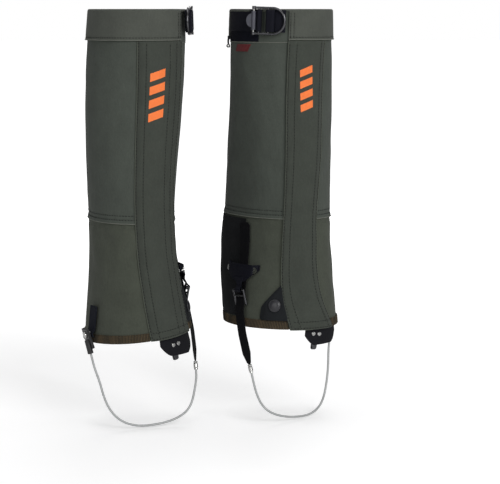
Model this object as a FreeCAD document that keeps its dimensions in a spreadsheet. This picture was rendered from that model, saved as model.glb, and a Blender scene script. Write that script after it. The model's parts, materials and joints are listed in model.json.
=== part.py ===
# Pair of knee-high mountain gaiters: two fabric leg tubes, each with a front flap, a buckled
# top strap, a snap tab, an elastic hem and a webbing-and-cable stirrup.
# Millimetres, +Z up, origin at the bottom centre of the pair's bounding box. Each gaiter is
# built with its toes towards -Y about its own leg axis, then yawed towards +X and moved to
# its place. The right gaiter stands at -X, so its inner side is +X; the left is the opposite.
import FreeCAD, Part
import math
import os
import Sketcher
from FreeCAD import Matrix, Placement, Rotation, Vector

os.makedirs("parts", exist_ok=True)
doc = FreeCAD.newDocument("Gaiters")

# ---------------------------------------------------------------- driving dimensions
SECTION_WORDS = ("half_width", "front_reach", "back_reach", "centre_shift")
# Leg sections. height: half width, front reach, back reach, centre shift to the inner side
LEVELS = {
    120: (69.8, 83.0, 75.5, 3.3),
    135: (66.7, 82.5, 82.6, 2.0),
    160: (62.5, 81.0, 90.3, 0.6),
    190: (58.2, 78.0, 97.5, -0.8),
    220: (55.2, 74.0, 101.1, -2.3),
    260: (54.0, 70.0, 98.9, -3.0),
    300: (55.3, 68.5, 94.0, -3.7),
    350: (58.5, 68.5, 87.1, -3.2),
    400: (61.7, 69.0, 78.4, -1.3),
    450: (63.4, 70.5, 71.0, 1.1),
    500: (62.8, 72.5, 67.4, 3.2),
    540: (60.5, 74.0, 65.8, 4.2),
}
ROWS = [("%s_%d" % (word, level), number)
        for level, numbers in LEVELS.items() for word, number in zip(SECTION_WORDS, numbers)]
ROWS += [
    # fabric
    ("top_height", 540.0), ("band_height", 39.0), ("seam_height", 269.0),
    ("right_hem_height", 120.0), ("left_hem_height", 126.0),
    ("right_hem_slope", 0.12), ("left_hem_slope", 0.0), ("hem_binding", 11.0),
    ("panel_thick", 1.2), ("patch_thick", 1.0), ("flap_thick", 1.4), ("flap_offset", 2.4),
    ("tape_thick", 0.7), ("band_thick", 2.7),
    # where each gaiter stands; the shift centres the pair on the origin
    ("right_yaw", 18.0), ("left_yaw", 45.0), ("right_x", -96.0), ("left_x", 96.0),
    ("right_y", -25.0), ("left_y", 25.0), ("shift_x", -3.465), ("shift_y", -0.012),
    # top buckle and its webbing
    ("wire_radius", 1.6), ("frame_half_height", 16.5), ("frame_plane", 7.0),
    ("frame_arm", 26.5), ("frame_arc_centre", 9.5), ("anchor_bar", -9.5), ("strap_bar", 3.2),
    ("lever_pin_radius", 1.5), ("lever_bore_radius", 1.58), ("lever_barrel_radius", 3.0),
    ("lever_barrel_length", 24.0), ("lever_tab_radius", 9.0), ("lever_thick", 2.4),
    ("webbing_width", 29.0), ("webbing_thick", 1.5),
    # snap and rivets
    ("cap_radius", 8.2), ("cap_height", 2.6), ("socket_radius", 7.0), ("socket_bore", 4.9),
    ("stud_radius", 3.0), ("stud_base_radius", 6.5),
    ("rivet_head_radius", 4.2), ("rivet_head_height", 1.4), ("rivet_shank_radius", 1.6),
    ("pivot_radius", 2.0), ("pivot_bore", 2.08), ("pivot_head_radius", 4.4),
    # stirrup
    ("ladder_wire", 1.5), ("ladder_width", 21.0), ("ladder_top_bar", 13.5),
    ("ladder_strap_bar", 6.05), ("ladder_tilt", 24.4),
    ("instep_width", 15.0), ("instep_thick", 1.4), ("cable_radius", 1.5), ("cable_bore", 1.75),
    ("fitting_width", 15.0), ("fitting_thick", 3.6), ("fitting_tube", 3.8),
    ("fitting_tube_length", 18.0),
    ("crimp_radius", 2.9), ("crimp_length", 11.0), ("crimp_bore", 1.45),
    # lace hook and cord pull
    ("hook_width", 17.0), ("hook_length", 20.0), ("hook_thick", 1.2), ("hook_bore", 1.68),
    ("cord_radius", 1.3), ("cord_length", 13.0), ("bead_radius", 2.6),
]
dims = doc.addObject("Spreadsheet::Sheet", "Dims")
for row, (alias, number) in enumerate(ROWS, 1):
    dims.set("A%d" % row, alias.replace("_", " "))
    dims.set("B%d" % row, str(number))
    dims.setAlias("B%d" % row, alias)
doc.recompute()


def dim(alias):
    return float(dims.get(alias))


# ---------------------------------------------------------------- the leg surface
SIGN = {"right": 1, "left": -1}     # X direction of the inner side of the leg
HEIGHTS = sorted(LEVELS)
COLUMNS = [[dim("%s_%d" % (word, level)) for level in HEIGHTS] for word in SECTION_WORDS]

# Flap edges by height, in degrees from the front towards the inner side
EDGE_OUTER = {
    "right": {500: -15.5, 430: -13.5, 350: -13.6, 270: -15.0, 210: -13.0, 160: -8.5,
              125: -4.5, 110: -3.5},
    "left": {500: -8.4, 430: -3.6, 350: 0.9, 290: 7.0, 230: 11.0, 190: 10.5, 160: 3.0,
             125: -14.0, 110: -20.0},
}
EDGE_INNER = {
    "right": {500: 44.0, 430: 44.5, 350: 45.5, 270: 46.5, 210: 48.0, 160: 49.0,
              125: 48.5, 110: 48.0},
    "left": {500: 40.8, 430: 43.3, 350: 47.1, 270: 51.7, 240: 53.6, 210: 54.6, 185: 53.8,
             160: 50.1, 125: 41.0, 110: 38.0},
}
# Straight fold line of the flap: (height, distance towards the inner side) of two points
FOLD = {"right": ((110.0, 1.5), (505.0, -9.0)), "left": ((110.0, 19.0), (505.0, 6.0))}
FOLD_OFFSET = 3.0                   # the fold is laid out this far outside the leg


def interpolate(knots, values, x):
    """Smooth cubic through the values, carried on straight beyond both ends."""
    last = len(knots) - 1
    if x <= knots[0]:
        return values[0] + (x - knots[0]) * (values[1] - values[0]) / (knots[1] - knots[0])
    if x >= knots[-1]:
        return values[-1] + (x - knots[-1]) * (values[-1] - values[-2]) / (knots[-1] - knots[-2])
    i = max(k for k in range(last) if knots[k] <= x)

    def slope(k):
        before, after = max(k - 1, 0), min(k + 1, last)
        return (values[after] - values[before]) / (knots[after] - knots[before])

    width = knots[i + 1] - knots[i]
    part = (x - knots[i]) / width
    return ((2 * part ** 3 - 3 * part ** 2 + 1) * values[i]
            + (part ** 3 - 2 * part ** 2 + part) * width * slope(i)
            + (3 * part ** 2 - 2 * part ** 3) * values[i + 1]
            + (part ** 3 - part ** 2) * width * slope(i + 1))


def held(table, x):
    """Smooth cubic through a table, with the end values held beyond it."""
    knots = sorted(table)
    x = min(max(x, knots[0]), knots[-1])
    return interpolate(knots, [table[k] for k in knots], x)


def section(z):
    return [interpolate(HEIGHTS, column, z) for column in COLUMNS]


def leg(sign, angle, z, offset=0.0):
    """Point at an angle from the front towards the inner side, offset outside the leg."""
    half_width, front, back, shift = section(z)
    turn = math.radians(angle)
    reach = front if math.cos(turn) >= 0 else back
    return Vector(sign * (shift + (half_width + offset) * math.sin(turn)),
                  -(reach + offset) * math.cos(turn), z)


def leg_sloped(sign, angle, level, slope, offset):
    """Leg point on a plane that rises by slope towards the inner side."""
    z = level
    for _ in range(40):
        z = level + slope * sign * leg(sign, angle, z, offset).x
    return leg(sign, angle, z, offset)


def inner_edge(side, turn=0.0):
    """Angle of the flap's inner edge plus turn, as a function of height."""
    return lambda z: held(EDGE_INNER[side], z) + turn


def outer_edge(side, turn=0.0):
    return lambda z: held(EDGE_OUTER[side], z) + turn


def fold_edge(side, turn=0.0):
    (low_z, low_x), (high_z, high_x) = FOLD[side]

    def angle(z):
        half_width, _, _, shift = section(z)
        fold_x = low_x + (high_x - low_x) * (z - low_z) / (high_z - low_z)
        return math.degrees(math.asin((fold_x - shift) / (half_width + FOLD_OFFSET))) + turn
    return angle


# ---------------------------------------------------------------- placements
def frame(x_dir, y_dir, z_dir, origin):
    return Placement(Matrix(x_dir.x, y_dir.x, z_dir.x, origin.x,
                            x_dir.y, y_dir.y, z_dir.y, origin.y,
                            x_dir.z, y_dir.z, z_dir.z, origin.z, 0, 0, 0, 1))


def seat(sign, angle, z, offset=0.0):
    """Placement on the leg surface: X along the girth, Y up the leg, Z straight out."""
    up = leg(sign, angle, z + 6) - leg(sign, angle, z - 6)
    up.normalize()
    girth = leg(sign, angle - 3, z) - leg(sign, angle + 3, z)
    normal = girth.cross(up)
    normal.normalize()
    if normal.dot(leg(sign, angle, z) - Vector(0, 0, z)) < 0:
        normal = normal * -1.0
    along = up.cross(normal)
    along.normalize()
    return frame(along, up, normal, leg(sign, angle, z) + normal * offset)


def axes_at(origin, z_axis, y_hint):
    z_dir = Vector(z_axis)
    z_dir.normalize()
    x_dir = Vector(y_hint).cross(z_dir)
    x_dir.normalize()
    return frame(x_dir, z_dir.cross(x_dir), z_dir, origin)


def moved(x, y, z, axis=(0, 0, 1), angle=0.0):
    return Placement(Vector(x, y, z), Rotation(Vector(*axis), angle))


def gaiter_place(side):
    return Placement(Vector(dim(side + "_x") + dim("shift_x"),
                            dim(side + "_y") + dim("shift_y"), 0),
                     Rotation(Vector(0, 0, 1), dim(side + "_yaw")))


# ---------------------------------------------------------------- document helpers
pieces = {}


def keep(side, name, obj, local=None):
    """Registers obj as a finished piece, seated at local within its gaiter."""
    obj.Label = "%s_%s" % (side, name)
    obj.Placement = gaiter_place(side).multiply(local or Placement())
    pieces[obj.Label] = obj


def feature(side, name, shape, local=None):
    obj = doc.addObject("Part::Feature", "F_%s_%s" % (side, name))
    obj.Shape = shape
    keep(side, name, obj, local)


def set_values(obj, values):
    """Text is bound as an expression; anything else is set as it is."""
    for key, value in values.items():
        if isinstance(value, str):
            obj.setExpression(key, value)
        else:
            setattr(obj, key, value)


def prim(side, kind, name, local=None, **sizes):
    obj = doc.addObject("Part::" + kind, "%s_%s_%s" % (kind, side, name))
    set_values(obj, sizes)
    if local is not None:
        obj.Placement = local
    return obj


def fuse(side, name, shapes):
    obj = doc.addObject("Part::MultiFuse", "Fuse_%s_%s" % (side, name))
    obj.Shapes = shapes
    obj.Refine = True
    return obj


def cut(side, name, base, tool):
    obj = doc.addObject("Part::Cut", "Cut_%s_%s" % (side, name))
    obj.Base = base
    obj.Tool = tool
    return obj


def new_body(side, name):
    return doc.addObject("PartDesign::Body", "B_%s_%s" % (side, name))


def sketch_on(body, role, name):
    sketch = body.newObject("Sketcher::SketchObject", name)
    plane = [item for item in body.Origin.OriginFeatures if item.Role == role][0]
    sketch.AttachmentSupport = [(plane, "")]
    sketch.MapMode = "FlatFace"
    return sketch


def draw_poly(sketch, points):
    count = len(points)
    first = sketch.GeometryCount
    for start, end in zip(points, points[1:] + points[:1]):
        sketch.addGeometry(Part.LineSegment(Vector(*start, 0), Vector(*end, 0)), False)
    for i in range(count):
        sketch.addConstraint(Sketcher.Constraint(
            "Coincident", first + i, 2, first + (i + 1) % count, 1))


def draw_circle(sketch, x, y, alias):
    circle = Part.Circle(Vector(x, y, 0), Vector(0, 0, 1), dim(alias))
    index = sketch.addGeometry(circle, False)
    number = sketch.addConstraint(Sketcher.Constraint("Radius", index, dim(alias)))
    sketch.setExpression("Constraints[%d]" % number, "Dims." + alias)


def body_step(body, kind, name, profile, **settings):
    """Adds a PartDesign feature made from a sketch."""
    step = body.newObject("PartDesign::" + kind, name)
    step.Profile = profile
    set_values(step, settings)
    doc.recompute()


def turned(side, name, outline):
    """Body turned about its Z axis from an outline of (radius, height)."""
    body = new_body(side, name)
    sketch = sketch_on(body, "XZ_Plane", "Outline_%s_%s" % (side, name))
    draw_poly(sketch, outline)
    body_step(body, "Revolution", "Turn_%s_%s" % (side, name), sketch,
              ReferenceAxis=(sketch, ["V_Axis"]), Angle=360.0)
    return body


# ---------------------------------------------------------------- shape helpers
def sheet(sign, start, end, low, high, inside, outside, low_slope=0.0, high_slope=0.0,
          angle_step=7.0, height_step=16.0):
    """Closed solid between two offsets of the leg surface.
    start, end: angles, or functions of height. inside, outside: offsets, or functions of
    (angle, height). The slopes tilt the lower and upper ends."""
    start_at = start if callable(start) else (lambda z: start)
    end_at = end if callable(end) else (lambda z: end)
    inside_at = inside if callable(inside) else (lambda angle, z: inside)
    outside_at = outside if callable(outside) else (lambda angle, z: outside)
    span = max(abs(end_at(z) - start_at(z)) for z in (low, (low + high) / 2, high))
    columns = max(4, int(span / angle_step) + 2)
    rows = max(3, int((high - low) / height_step) + 2)
    wires = []
    for j in range(rows):
        part = j / (rows - 1.0)
        level = low + (high - low) * part
        slope = low_slope * (1 - part) + high_slope * part
        first, last = start_at(level), end_at(level)
        angles = [first + (last - first) * i / (columns - 1.0) for i in range(columns)]
        outer = [leg_sloped(sign, a, level, slope, outside_at(a, level)) for a in angles]
        inner = [leg_sloped(sign, a, level, slope, inside_at(a, level)) for a in angles]
        outer_curve = Part.BSplineCurve()
        outer_curve.interpolate(outer)
        inner_curve = Part.BSplineCurve()
        inner_curve.interpolate(inner[::-1])
        wires.append(Part.Wire([
            outer_curve.toShape(), Part.LineSegment(outer[-1], inner[-1]).toShape(),
            inner_curve.toShape(), Part.LineSegment(inner[0], outer[0]).toShape()]))
    solid = Part.makeLoft(wires, True, False)
    if solid.Volume < 0:
        solid.reverse()
    return solid


def ribbon(stations, thick):
    """Flat strip through stations of (point, width direction, face direction, width)."""
    wires = []
    for point, across, face, width in stations:
        across = Vector(across)
        across.normalize()
        face = face - across * face.dot(across)
        face.normalize()
        half_across = across * (width / 2)
        half_face = face * (thick / 2)
        corners = [point + half_across + half_face, point - half_across + half_face,
                   point - half_across - half_face, point + half_across - half_face]
        wires.append(Part.makePolygon(corners + corners[:1]))
    return Part.makeLoft(wires, True, True)


def tube_along(first, points, last, radius):
    """Round bar: straight to points[0], a smooth curve through points, straight to last."""
    lengths = [0.0]
    for near, far in zip(points, points[1:]):
        lengths.append(lengths[-1] + (far - near).Length)
    start_dir = points[0] - first
    end_dir = last - points[-1]
    start_dir.normalize()
    end_dir.normalize()
    curve = Part.BSplineCurve()
    curve.interpolate(Points=points, Parameters=lengths, InitialTangent=start_dir,
                      FinalTangent=end_dir, Scale=False)
    path = Part.Wire([Part.LineSegment(first, points[0]).toShape(), curve.toShape(),
                      Part.LineSegment(points[-1], last).toShape()])
    ring = Part.Wire([Part.Circle(first, start_dir, radius).toShape()])
    return path.makePipeShell([ring], True, True)


# ---------------------------------------------------------------- fabric
SEAM_GAP = 0.4                # half the gap between upper and lower panel
LAY = 0.3                     # clearance of a layer lying on the panels
PATCH_ANGLES = (99.0, 168.0)
BAND_START = 134.0            # the top band leaves the buckle's side open
# tongue under the hem: middle and half width in degrees, and lowest height
TONGUE = {"right": (31.0, 25.0, 98.0), "left": (-2.0, 26.0, 104.0)}


def leg_panels(side):
    """Open tubes whose front gap lies under the flap, and the patch on the inner back."""
    sign, seam, thick = SIGN[side], dim("seam_height"), dim("panel_thick")
    hem, slope = dim(side + "_hem_height"), dim(side + "_hem_slope")
    start, end = inner_edge(side, -22.0), fold_edge(side, 363.0)
    feature(side, "upper_panel", sheet(
        sign, start, end, seam + SEAM_GAP, dim("top_height") - 1.2, -thick, 0.0))
    feature(side, "lower_panel", sheet(
        sign, start, end, hem, seam - SEAM_GAP, -thick, 0.0, slope))
    feature(side, "crampon_patch", sheet(
        sign, *PATCH_ANGLES, hem + dim("hem_binding") + 1.2, seam - 3.0,
        LAY, LAY + dim("patch_thick"), slope))


def top_band(side):
    """Band round the top, from behind the buckle round the back to the flap's inner edge."""
    top = dim("top_height")
    feature(side, "top_band", sheet(
        SIGN[side], BAND_START, inner_edge(side, 360.0)(500.0),
        top - dim("band_height") + 0.6, top, LAY, LAY + dim("band_thick")))


def front_flap(side):
    """Sewn strip and swinging part, the hook tape behind it and the loop tape it meets."""
    sign = SIGN[side]
    hem, slope = dim(side + "_hem_height"), dim(side + "_hem_slope")
    band_z = dim("top_height") - dim("band_height")
    offset, tape = dim("flap_offset"), dim("tape_thick")
    for name, start, end in (("flap_sewn_edge", outer_edge(side), fold_edge(side, -0.35)),
                             ("front_flap", fold_edge(side, 0.1), inner_edge(side))):
        feature(side, name, sheet(sign, start, end, hem - 0.5, band_z - 0.2,
                                  offset, offset + dim("flap_thick"), slope))
    for name, inside, outside in (("flap_hook_tape", offset - 0.4 - tape, offset - 0.4),
                                  ("panel_loop_tape", 0.25, 0.25 + tape)):
        feature(side, name, sheet(sign, inner_edge(side, -19.0), inner_edge(side, -3.0),
                                  hem + 30, band_z - 12, inside, outside))


def under_placket(side):
    """Placket behind the flap; its lower end is a tongue that shows under the hem."""
    sign, hem, thick = SIGN[side], dim(side + "_hem_height"), dim("panel_thick")
    placket = sheet(
        sign, fold_edge(side, -4.0), inner_edge(side, -15.0), hem + 10,
        dim("top_height") - dim("band_height") - 6, -thick - 1.3, -thick - 0.3)
    middle, widest, low = TONGUE[side]

    def half(z):
        """Half width: rounds out from half its full value over the lowest 13 mm."""
        return widest * (0.5 + 0.5 * min(1.0, max(0.0, (z - low) / 13.0)) ** 0.6)

    tongue = sheet(sign, lambda z: middle - half(z), lambda z: middle + half(z), low, hem + 22,
                   -thick - 2.0, -thick - 0.8, angle_step=5.0, height_step=3.0)
    feature(side, "under_placket", placket.fuse(tongue).removeSplitter())


def hem_elastic(side):
    hem, slope = dim(side + "_hem_height"), dim(side + "_hem_slope")
    feature(side, "hem_elastic", sheet(
        SIGN[side], inner_edge(side, 0.8), outer_edge(side, 359.2), hem,
        hem + dim("hem_binding"), LAY, 2.0, slope, slope, height_step=6.0))


# ---------------------------------------------------------------- snap tab
SNAP_ANGLE, SNAP_Z = 57.8, 156.0


def snap(side):
    """Tab on the flap's free edge and the three turned parts of its snap."""
    feature(side, "snap_tab", sheet(
        SIGN[side], inner_edge(side, 0.7), 72.5, 137.0, 183.0, 3.3, 4.5))
    cap, cap_base = dim("cap_radius"), 4.75
    cap_top = cap_base + dim("cap_height")
    socket, bore = dim("socket_radius"), dim("socket_bore")
    stud, base, neck = dim("stud_radius"), dim("stud_base_radius"), 1.8
    outlines = {
        "snap_cap": [(0, cap_base), (cap - 0.6, cap_base), (cap, 5.2), (cap - 0.4, 6.1),
                     (cap - 2.2, cap_top - 0.5), (2.5, cap_top), (0, cap_top)],
        "snap_socket": [(bore, 0.55), (socket - 0.4, 0.55), (socket, 0.9), (socket, 2.6),
                        (socket - 0.5, 3.05), (0, 3.05), (0, 2.55), (bore, 2.55)],
        "snap_stud": [(0, -2.0), (base, -2.0), (base, -1.5), (neck, -1.5), (neck, 0.8),
                      (stud, 1.3), (stud - 0.2, 1.8), (0, 1.95)],
    }
    for name, outline in outlines.items():
        keep(side, name, turned(side, name, outline), seat(SIGN[side], SNAP_ANGLE, SNAP_Z))


# ---------------------------------------------------------------- top buckle and webbing
# In the buckle's seat X times forward points towards the front of the leg.
# Distances such as strap_bar are measured that way.
BUCKLE_ANGLE, BUCKLE_Z = 63.5, 526.0
ANCHOR_ANGLES = (88, 94, 100, 108, 116, 124, 132)   # where the anchor lies on the leg
ANCHOR_LAY = 0.35
STRAP_SLOT = 5.5              # straight length of the strap's loop
STRAP_END = 26.0
BAR_CLEARANCE = 0.3           # between the frame wire's radius and the webbing


def buckle_seat(side):
    return seat(SIGN[side], BUCKLE_ANGLE, BUCKLE_Z)


def frame_back():
    """Distance of the frame's open end, where the lever pin sits."""
    return dim("frame_arc_centre") - dim("frame_arm")


def buckle_frame(side):
    """D of wire with two upright bars and an eye on the end of each arm."""
    forward, plane = -SIGN[side], dim("frame_plane")
    half, arc, back = dim("frame_half_height"), dim("frame_arc_centre"), frame_back()
    high_end, high_arc = Vector(forward * back, half, plane), Vector(forward * arc, half, plane)
    low_arc, low_end = Vector(forward * arc, -half, plane), Vector(forward * back, -half, plane)
    path = Part.Wire([
        Part.LineSegment(high_end, high_arc).toShape(),
        Part.Arc(high_arc, Vector(forward * (arc + half), 0, plane), low_arc).toShape(),
        Part.LineSegment(low_arc, low_end).toShape()])
    ring = Part.Wire([Part.Circle(high_end, Vector(forward, 0, 0), dim("wire_radius")).toShape()])
    wire = doc.addObject("Part::Feature", "FrameWire_" + side)
    wire.Shape = path.makePipeShell([ring], True, True)
    members = [wire]
    for name, alias in (("AnchorBar", "anchor_bar"), ("StrapBar", "strap_bar")):
        members.append(prim(
            side, "Cylinder", name, moved(forward * dim(alias), -half, plane, (1, 0, 0), -90),
            Radius="Dims.wire_radius - 0.12", Height="2 * Dims.frame_half_height"))
    eye_height = 3.8
    for name, y in (("EyeHigh", half), ("EyeLow", -half)):
        members.append(prim(
            side, "Cylinder", name,
            moved(forward * back, y - eye_height / 2, plane, (1, 0, 0), -90),
            Radius="Dims.wire_radius * 1.6", Height=eye_height))
    keep(side, "buckle_frame", fuse(side, "buckle_frame", members), buckle_seat(side))


def lever_pin(side):
    pin = prim(side, "Cylinder", "LeverPin", Radius="Dims.lever_pin_radius",
               Height="2 * Dims.frame_half_height")
    keep(side, "lever_pin", pin, buckle_seat(side).multiply(moved(
        -SIGN[side] * frame_back(), -dim("frame_half_height"), dim("frame_plane"),
        (1, 0, 0), -90)))


def buckle_lever(side):
    """Thumb lever: bored barrel on the pin and a half-round tab towards the back."""
    forward, radius = -SIGN[side], dim("lever_tab_radius")
    body = new_body(side, "buckle_lever")
    sketch = sketch_on(body, "XZ_Plane", "LeverBarrel_" + side)
    draw_circle(sketch, 0, 0, "lever_barrel_radius")
    body_step(body, "Pad", "LeverBarrelPad_" + side, sketch, Midplane=True,
              Length="Dims.lever_barrel_length")
    sketch = sketch_on(body, "XY_Plane", "LeverTab_" + side)
    outline = [(-forward * 0.5, -radius)]
    for i in range(13):
        turn = math.radians(-90 + 15 * i)
        outline.append((-forward * (2.0 + (radius - 1.0) * math.cos(turn)),
                        radius * math.sin(turn)))
    outline.append((-forward * 0.5, radius))
    draw_poly(sketch, outline)
    body_step(body, "Pad", "LeverTabPad_" + side, sketch, Midplane=True,
              Length="Dims.lever_thick")
    sketch = sketch_on(body, "XZ_Plane", "LeverBore_" + side)
    draw_circle(sketch, 0, 0, "lever_bore_radius")
    body_step(body, "Pocket", "LeverBorePocket_" + side, sketch, Midplane=True, Type=1)
    keep(side, "buckle_lever", body, buckle_seat(side).multiply(
        moved(forward * frame_back(), 0, dim("frame_plane"))))


def webbing_loop(side, bar, slot, tail):
    """Webbing loop round a bar, lengthened forward by slot, with a tail outline.
    The outlines are in (distance towards the front, distance out)."""
    width, plane = dim("webbing_width"), dim("frame_plane")
    bore = dim("wire_radius") + BAR_CLEARANCE
    far = bar + slot

    def point(distance, out):
        return Vector(-SIGN[side] * distance, -width / 2, out)

    def track(radius):
        low, high = plane - radius, plane + radius
        edges = []
        if slot:
            edges.append(Part.LineSegment(point(bar, low), point(far, low)).toShape())
        edges.append(Part.Arc(point(far, low), point(far + radius, plane),
                              point(far, high)).toShape())
        if slot:
            edges.append(Part.LineSegment(point(far, high), point(bar, high)).toShape())
        edges.append(Part.Arc(point(bar, high), point(bar - radius, plane),
                              point(bar, low)).toShape())
        return Part.Face(Part.Wire(edges)).extrude(Vector(0, width, 0))

    corners = [point(*pair) for pair in tail]
    strip = Part.Face(Part.makePolygon(corners + corners[:1])).extrude(Vector(0, width, 0))
    loop = track(bore + dim("webbing_thick"))
    return loop.fuse(strip).cut(track(bore)).removeSplitter()


def strap_anchor(side):
    """Webbing that lies on the leg behind the buckle, then rises to the rear bar."""
    thick, bar = dim("webbing_thick"), dim("anchor_bar")
    to_seat = buckle_seat(side).inverse()

    def lay(offset):
        """Profile along the leg; the end next to the buckle is lifted slightly."""
        line = []
        for angle in ANCHOR_ANGLES:
            spot = to_seat.multVec(leg(SIGN[side], angle, BUCKLE_Z, offset))
            line.append((-SIGN[side] * spot.x, spot.z))
        distance, out = line[0]
        return [(distance + 2.0, out + 0.6)] + line[1:]

    face = dim("frame_plane") - dim("wire_radius") - BAR_CLEARANCE
    tail = ([(bar - 0.5, face - thick)] + lay(ANCHOR_LAY)
            + lay(ANCHOR_LAY + thick)[::-1] + [(bar - 0.5, face)])
    feature(side, "strap_anchor", webbing_loop(side, bar, 0.0, tail), buckle_seat(side))


def top_strap(side):
    """Webbing looped on the front bar, with a straight tail towards the front."""
    bar = dim("strap_bar")
    face = dim("frame_plane") - dim("wire_radius") - BAR_CLEARANCE
    under = face - dim("webbing_thick")
    tail = [(bar + 2, under), (STRAP_END, under), (STRAP_END, face), (bar + 2, face)]
    feature(side, "top_strap", webbing_loop(side, bar, STRAP_SLOT, tail), buckle_seat(side))


def cord_pull(side):
    """Cord and bead hanging under the webbing at the back of the inner side."""
    cord = prim(side, "Cylinder", "Cord", moved(0, 0, 0, (1, 0, 0), 90),
                Radius="Dims.cord_radius", Height="Dims.cord_length")
    bead = prim(side, "Sphere", "CordBead", moved(0, -dim("cord_length"), 0),
                Radius="Dims.bead_radius")
    keep(side, "cord_pull", fuse(side, "cord_pull", [cord, bead]),
         seat(SIGN[side], 127.0, 506.0, 3.6))


def side_tab(side):
    """Small tab below the webbing."""
    feature(side, "side_tab", sheet(SIGN[side], 84.0, 108.0, 486.5, 496.0, LAY, 1.2,
                                    angle_step=6.0, height_step=4.0))


# ---------------------------------------------------------------- stirrup
LADDER_RISE = 16.0            # ladder buckle above the strap's lower straight point
TAB_LOW, TAB_HIGH, TAB_FLARE = 184.0, 207.0, 16.0
TAB_THICK = 1.5
RIVET_Z = 198.7
RIVET_ANGLES = (("A", 82.3), ("B", 112.6))
LATERAL_ANGLE = -73.0


class Stirrup:
    """Points and frames shared by the stirrup's pieces, in the gaiter's own frame."""

    def __init__(self, side):
        sign = self.sign = SIGN[side]
        # centre line of the instep strap on the inner side, straight from low to high
        self.high = Vector(leg(sign, 98.0, 215.0).x + sign * 4.6, 12.0, 215.0)
        self.low = Vector(leg(sign, 97.0, 145.0).x + sign * 7.6, 5.0, 145.0)
        self.strap_tip = Vector(self.low.x + sign * 3.1, -17.4, 76.7)
        self.upward = self.high - self.low
        self.upward.normalize()
        self.across = Vector(0, 1, 0) - self.upward * self.upward.y
        self.across.normalize()
        self.outward = self.across.cross(self.upward)
        if self.outward.x * sign < 0:
            self.outward = self.outward * -1.0
        # ladder buckle, tilted about its width
        centre = self.low + self.upward * LADDER_RISE
        self.ladder_seat = axes_at(centre, self.outward, self.upward).multiply(
            moved(0, 0, 0, (1, 0, 0), dim("ladder_tilt")))
        self.top_bar = self.ladder_seat.multVec(Vector(0, dim("ladder_top_bar"), 0))
        # pivot on the outer side, in line with the ladder's top bar; its Z points outwards
        pivot = Vector(-sign * 70.0, -25.0, 124.0)
        self.pivot_seat = axes_at(pivot, pivot - self.top_bar, Vector(0, 0, 1))
        # cable socket, seated in the pivot's frame and parallel to the strap
        downward = self.pivot_seat.inverse().Rotation.multVec(self.upward) * -1.0
        self.tube_seat = axes_at(Vector(0, -7.5, 4.4), downward, Vector(0, 0, 1))
        self.tube_end = self.pivot_seat.multVec(
            self.tube_seat.multVec(Vector(0, 0, dim("fitting_tube_length"))))
        # the strap's tip and the cable both end inside the crimp
        self.crimp_dir = Vector(-sign * 0.02, -0.30, -1.0)
        self.crimp_dir.normalize()
        self.cable_start = self.strap_tip + self.crimp_dir * 0.6


def instep_strap(side, stirrup):
    sign, low, width = stirrup.sign, stirrup.low, dim("instep_width")
    across, outward = stirrup.across, stirrup.outward
    level = Vector(0, 1, 0)
    stations = [
        (Vector(leg(sign, 100.0, 262.0).x + sign * 4.6, 14.0, 262.0), level,
         Vector(sign, 0.25, 0.02), 19.0),
        (Vector(leg(sign, 99.0, 238.0).x + sign * 4.4, 13.0, 238.0), level,
         Vector(sign, 0.22, 0.05), 18.0),
        (stirrup.high, across, outward, width),
        (low, across, outward, width),
        (Vector(low.x + sign * 3.0, -3.0, 118.0), Vector(0, 1, -0.25),
         Vector(sign, -0.05, 0.1), width),
        (Vector(low.x + sign * 3.6, -12.0, 92.0), Vector(0, 1, -0.3),
         Vector(sign, -0.1, 0.02), width),
        (stirrup.strap_tip, Vector(0, 1, -0.3), Vector(sign, -0.1, 0.0), 5.0),
    ]
    feature(side, "instep_strap", ribbon(stations, dim("instep_thick")))


def ladder_buckle(side, stirrup):
    """Rounded wire rectangle with three cross bars."""
    half = dim("ladder_width") / 2 - dim("ladder_wire")
    top, strap = dim("ladder_top_bar"), dim("ladder_strap_bar")
    wire = "Dims.ladder_wire"
    members = []
    for name, y in (("Top", top), ("Mid", strap), ("Low", -strap)):
        members.append(prim(side, "Cylinder", "Ladder" + name,
                            moved(-half, y, 0, (0, 1, 0), 90), Radius=wire,
                            Height="Dims.ladder_width - 2 * Dims.ladder_wire"))
    for name, x in (("A", -half), ("B", half)):
        members.append(prim(side, "Cylinder", "LadderSide" + name,
                            moved(x, -strap, 0, (1, 0, 0), -90), Radius=wire,
                            Height="Dims.ladder_top_bar + Dims.ladder_strap_bar"))
        for end, y in (("C", -strap), ("D", top)):
            members.append(prim(side, "Sphere", "LadderCorner" + name + end,
                                moved(x, y, 0), Radius=wire))
    keep(side, "ladder_buckle", fuse(side, "ladder_buckle", members), stirrup.ladder_seat)


def tab_offset(extra):
    """Offset of the instep tab: low at both side edges, raised over the strap."""
    def offset(angle, z):
        rise = min(1.0, max(0.0, min(angle - 80.0, 114.5 - angle) / 4.5))
        rise = rise * rise * (3 - 2 * rise)
        return 1.7 + 6.3 * rise + extra
    return offset


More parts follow.
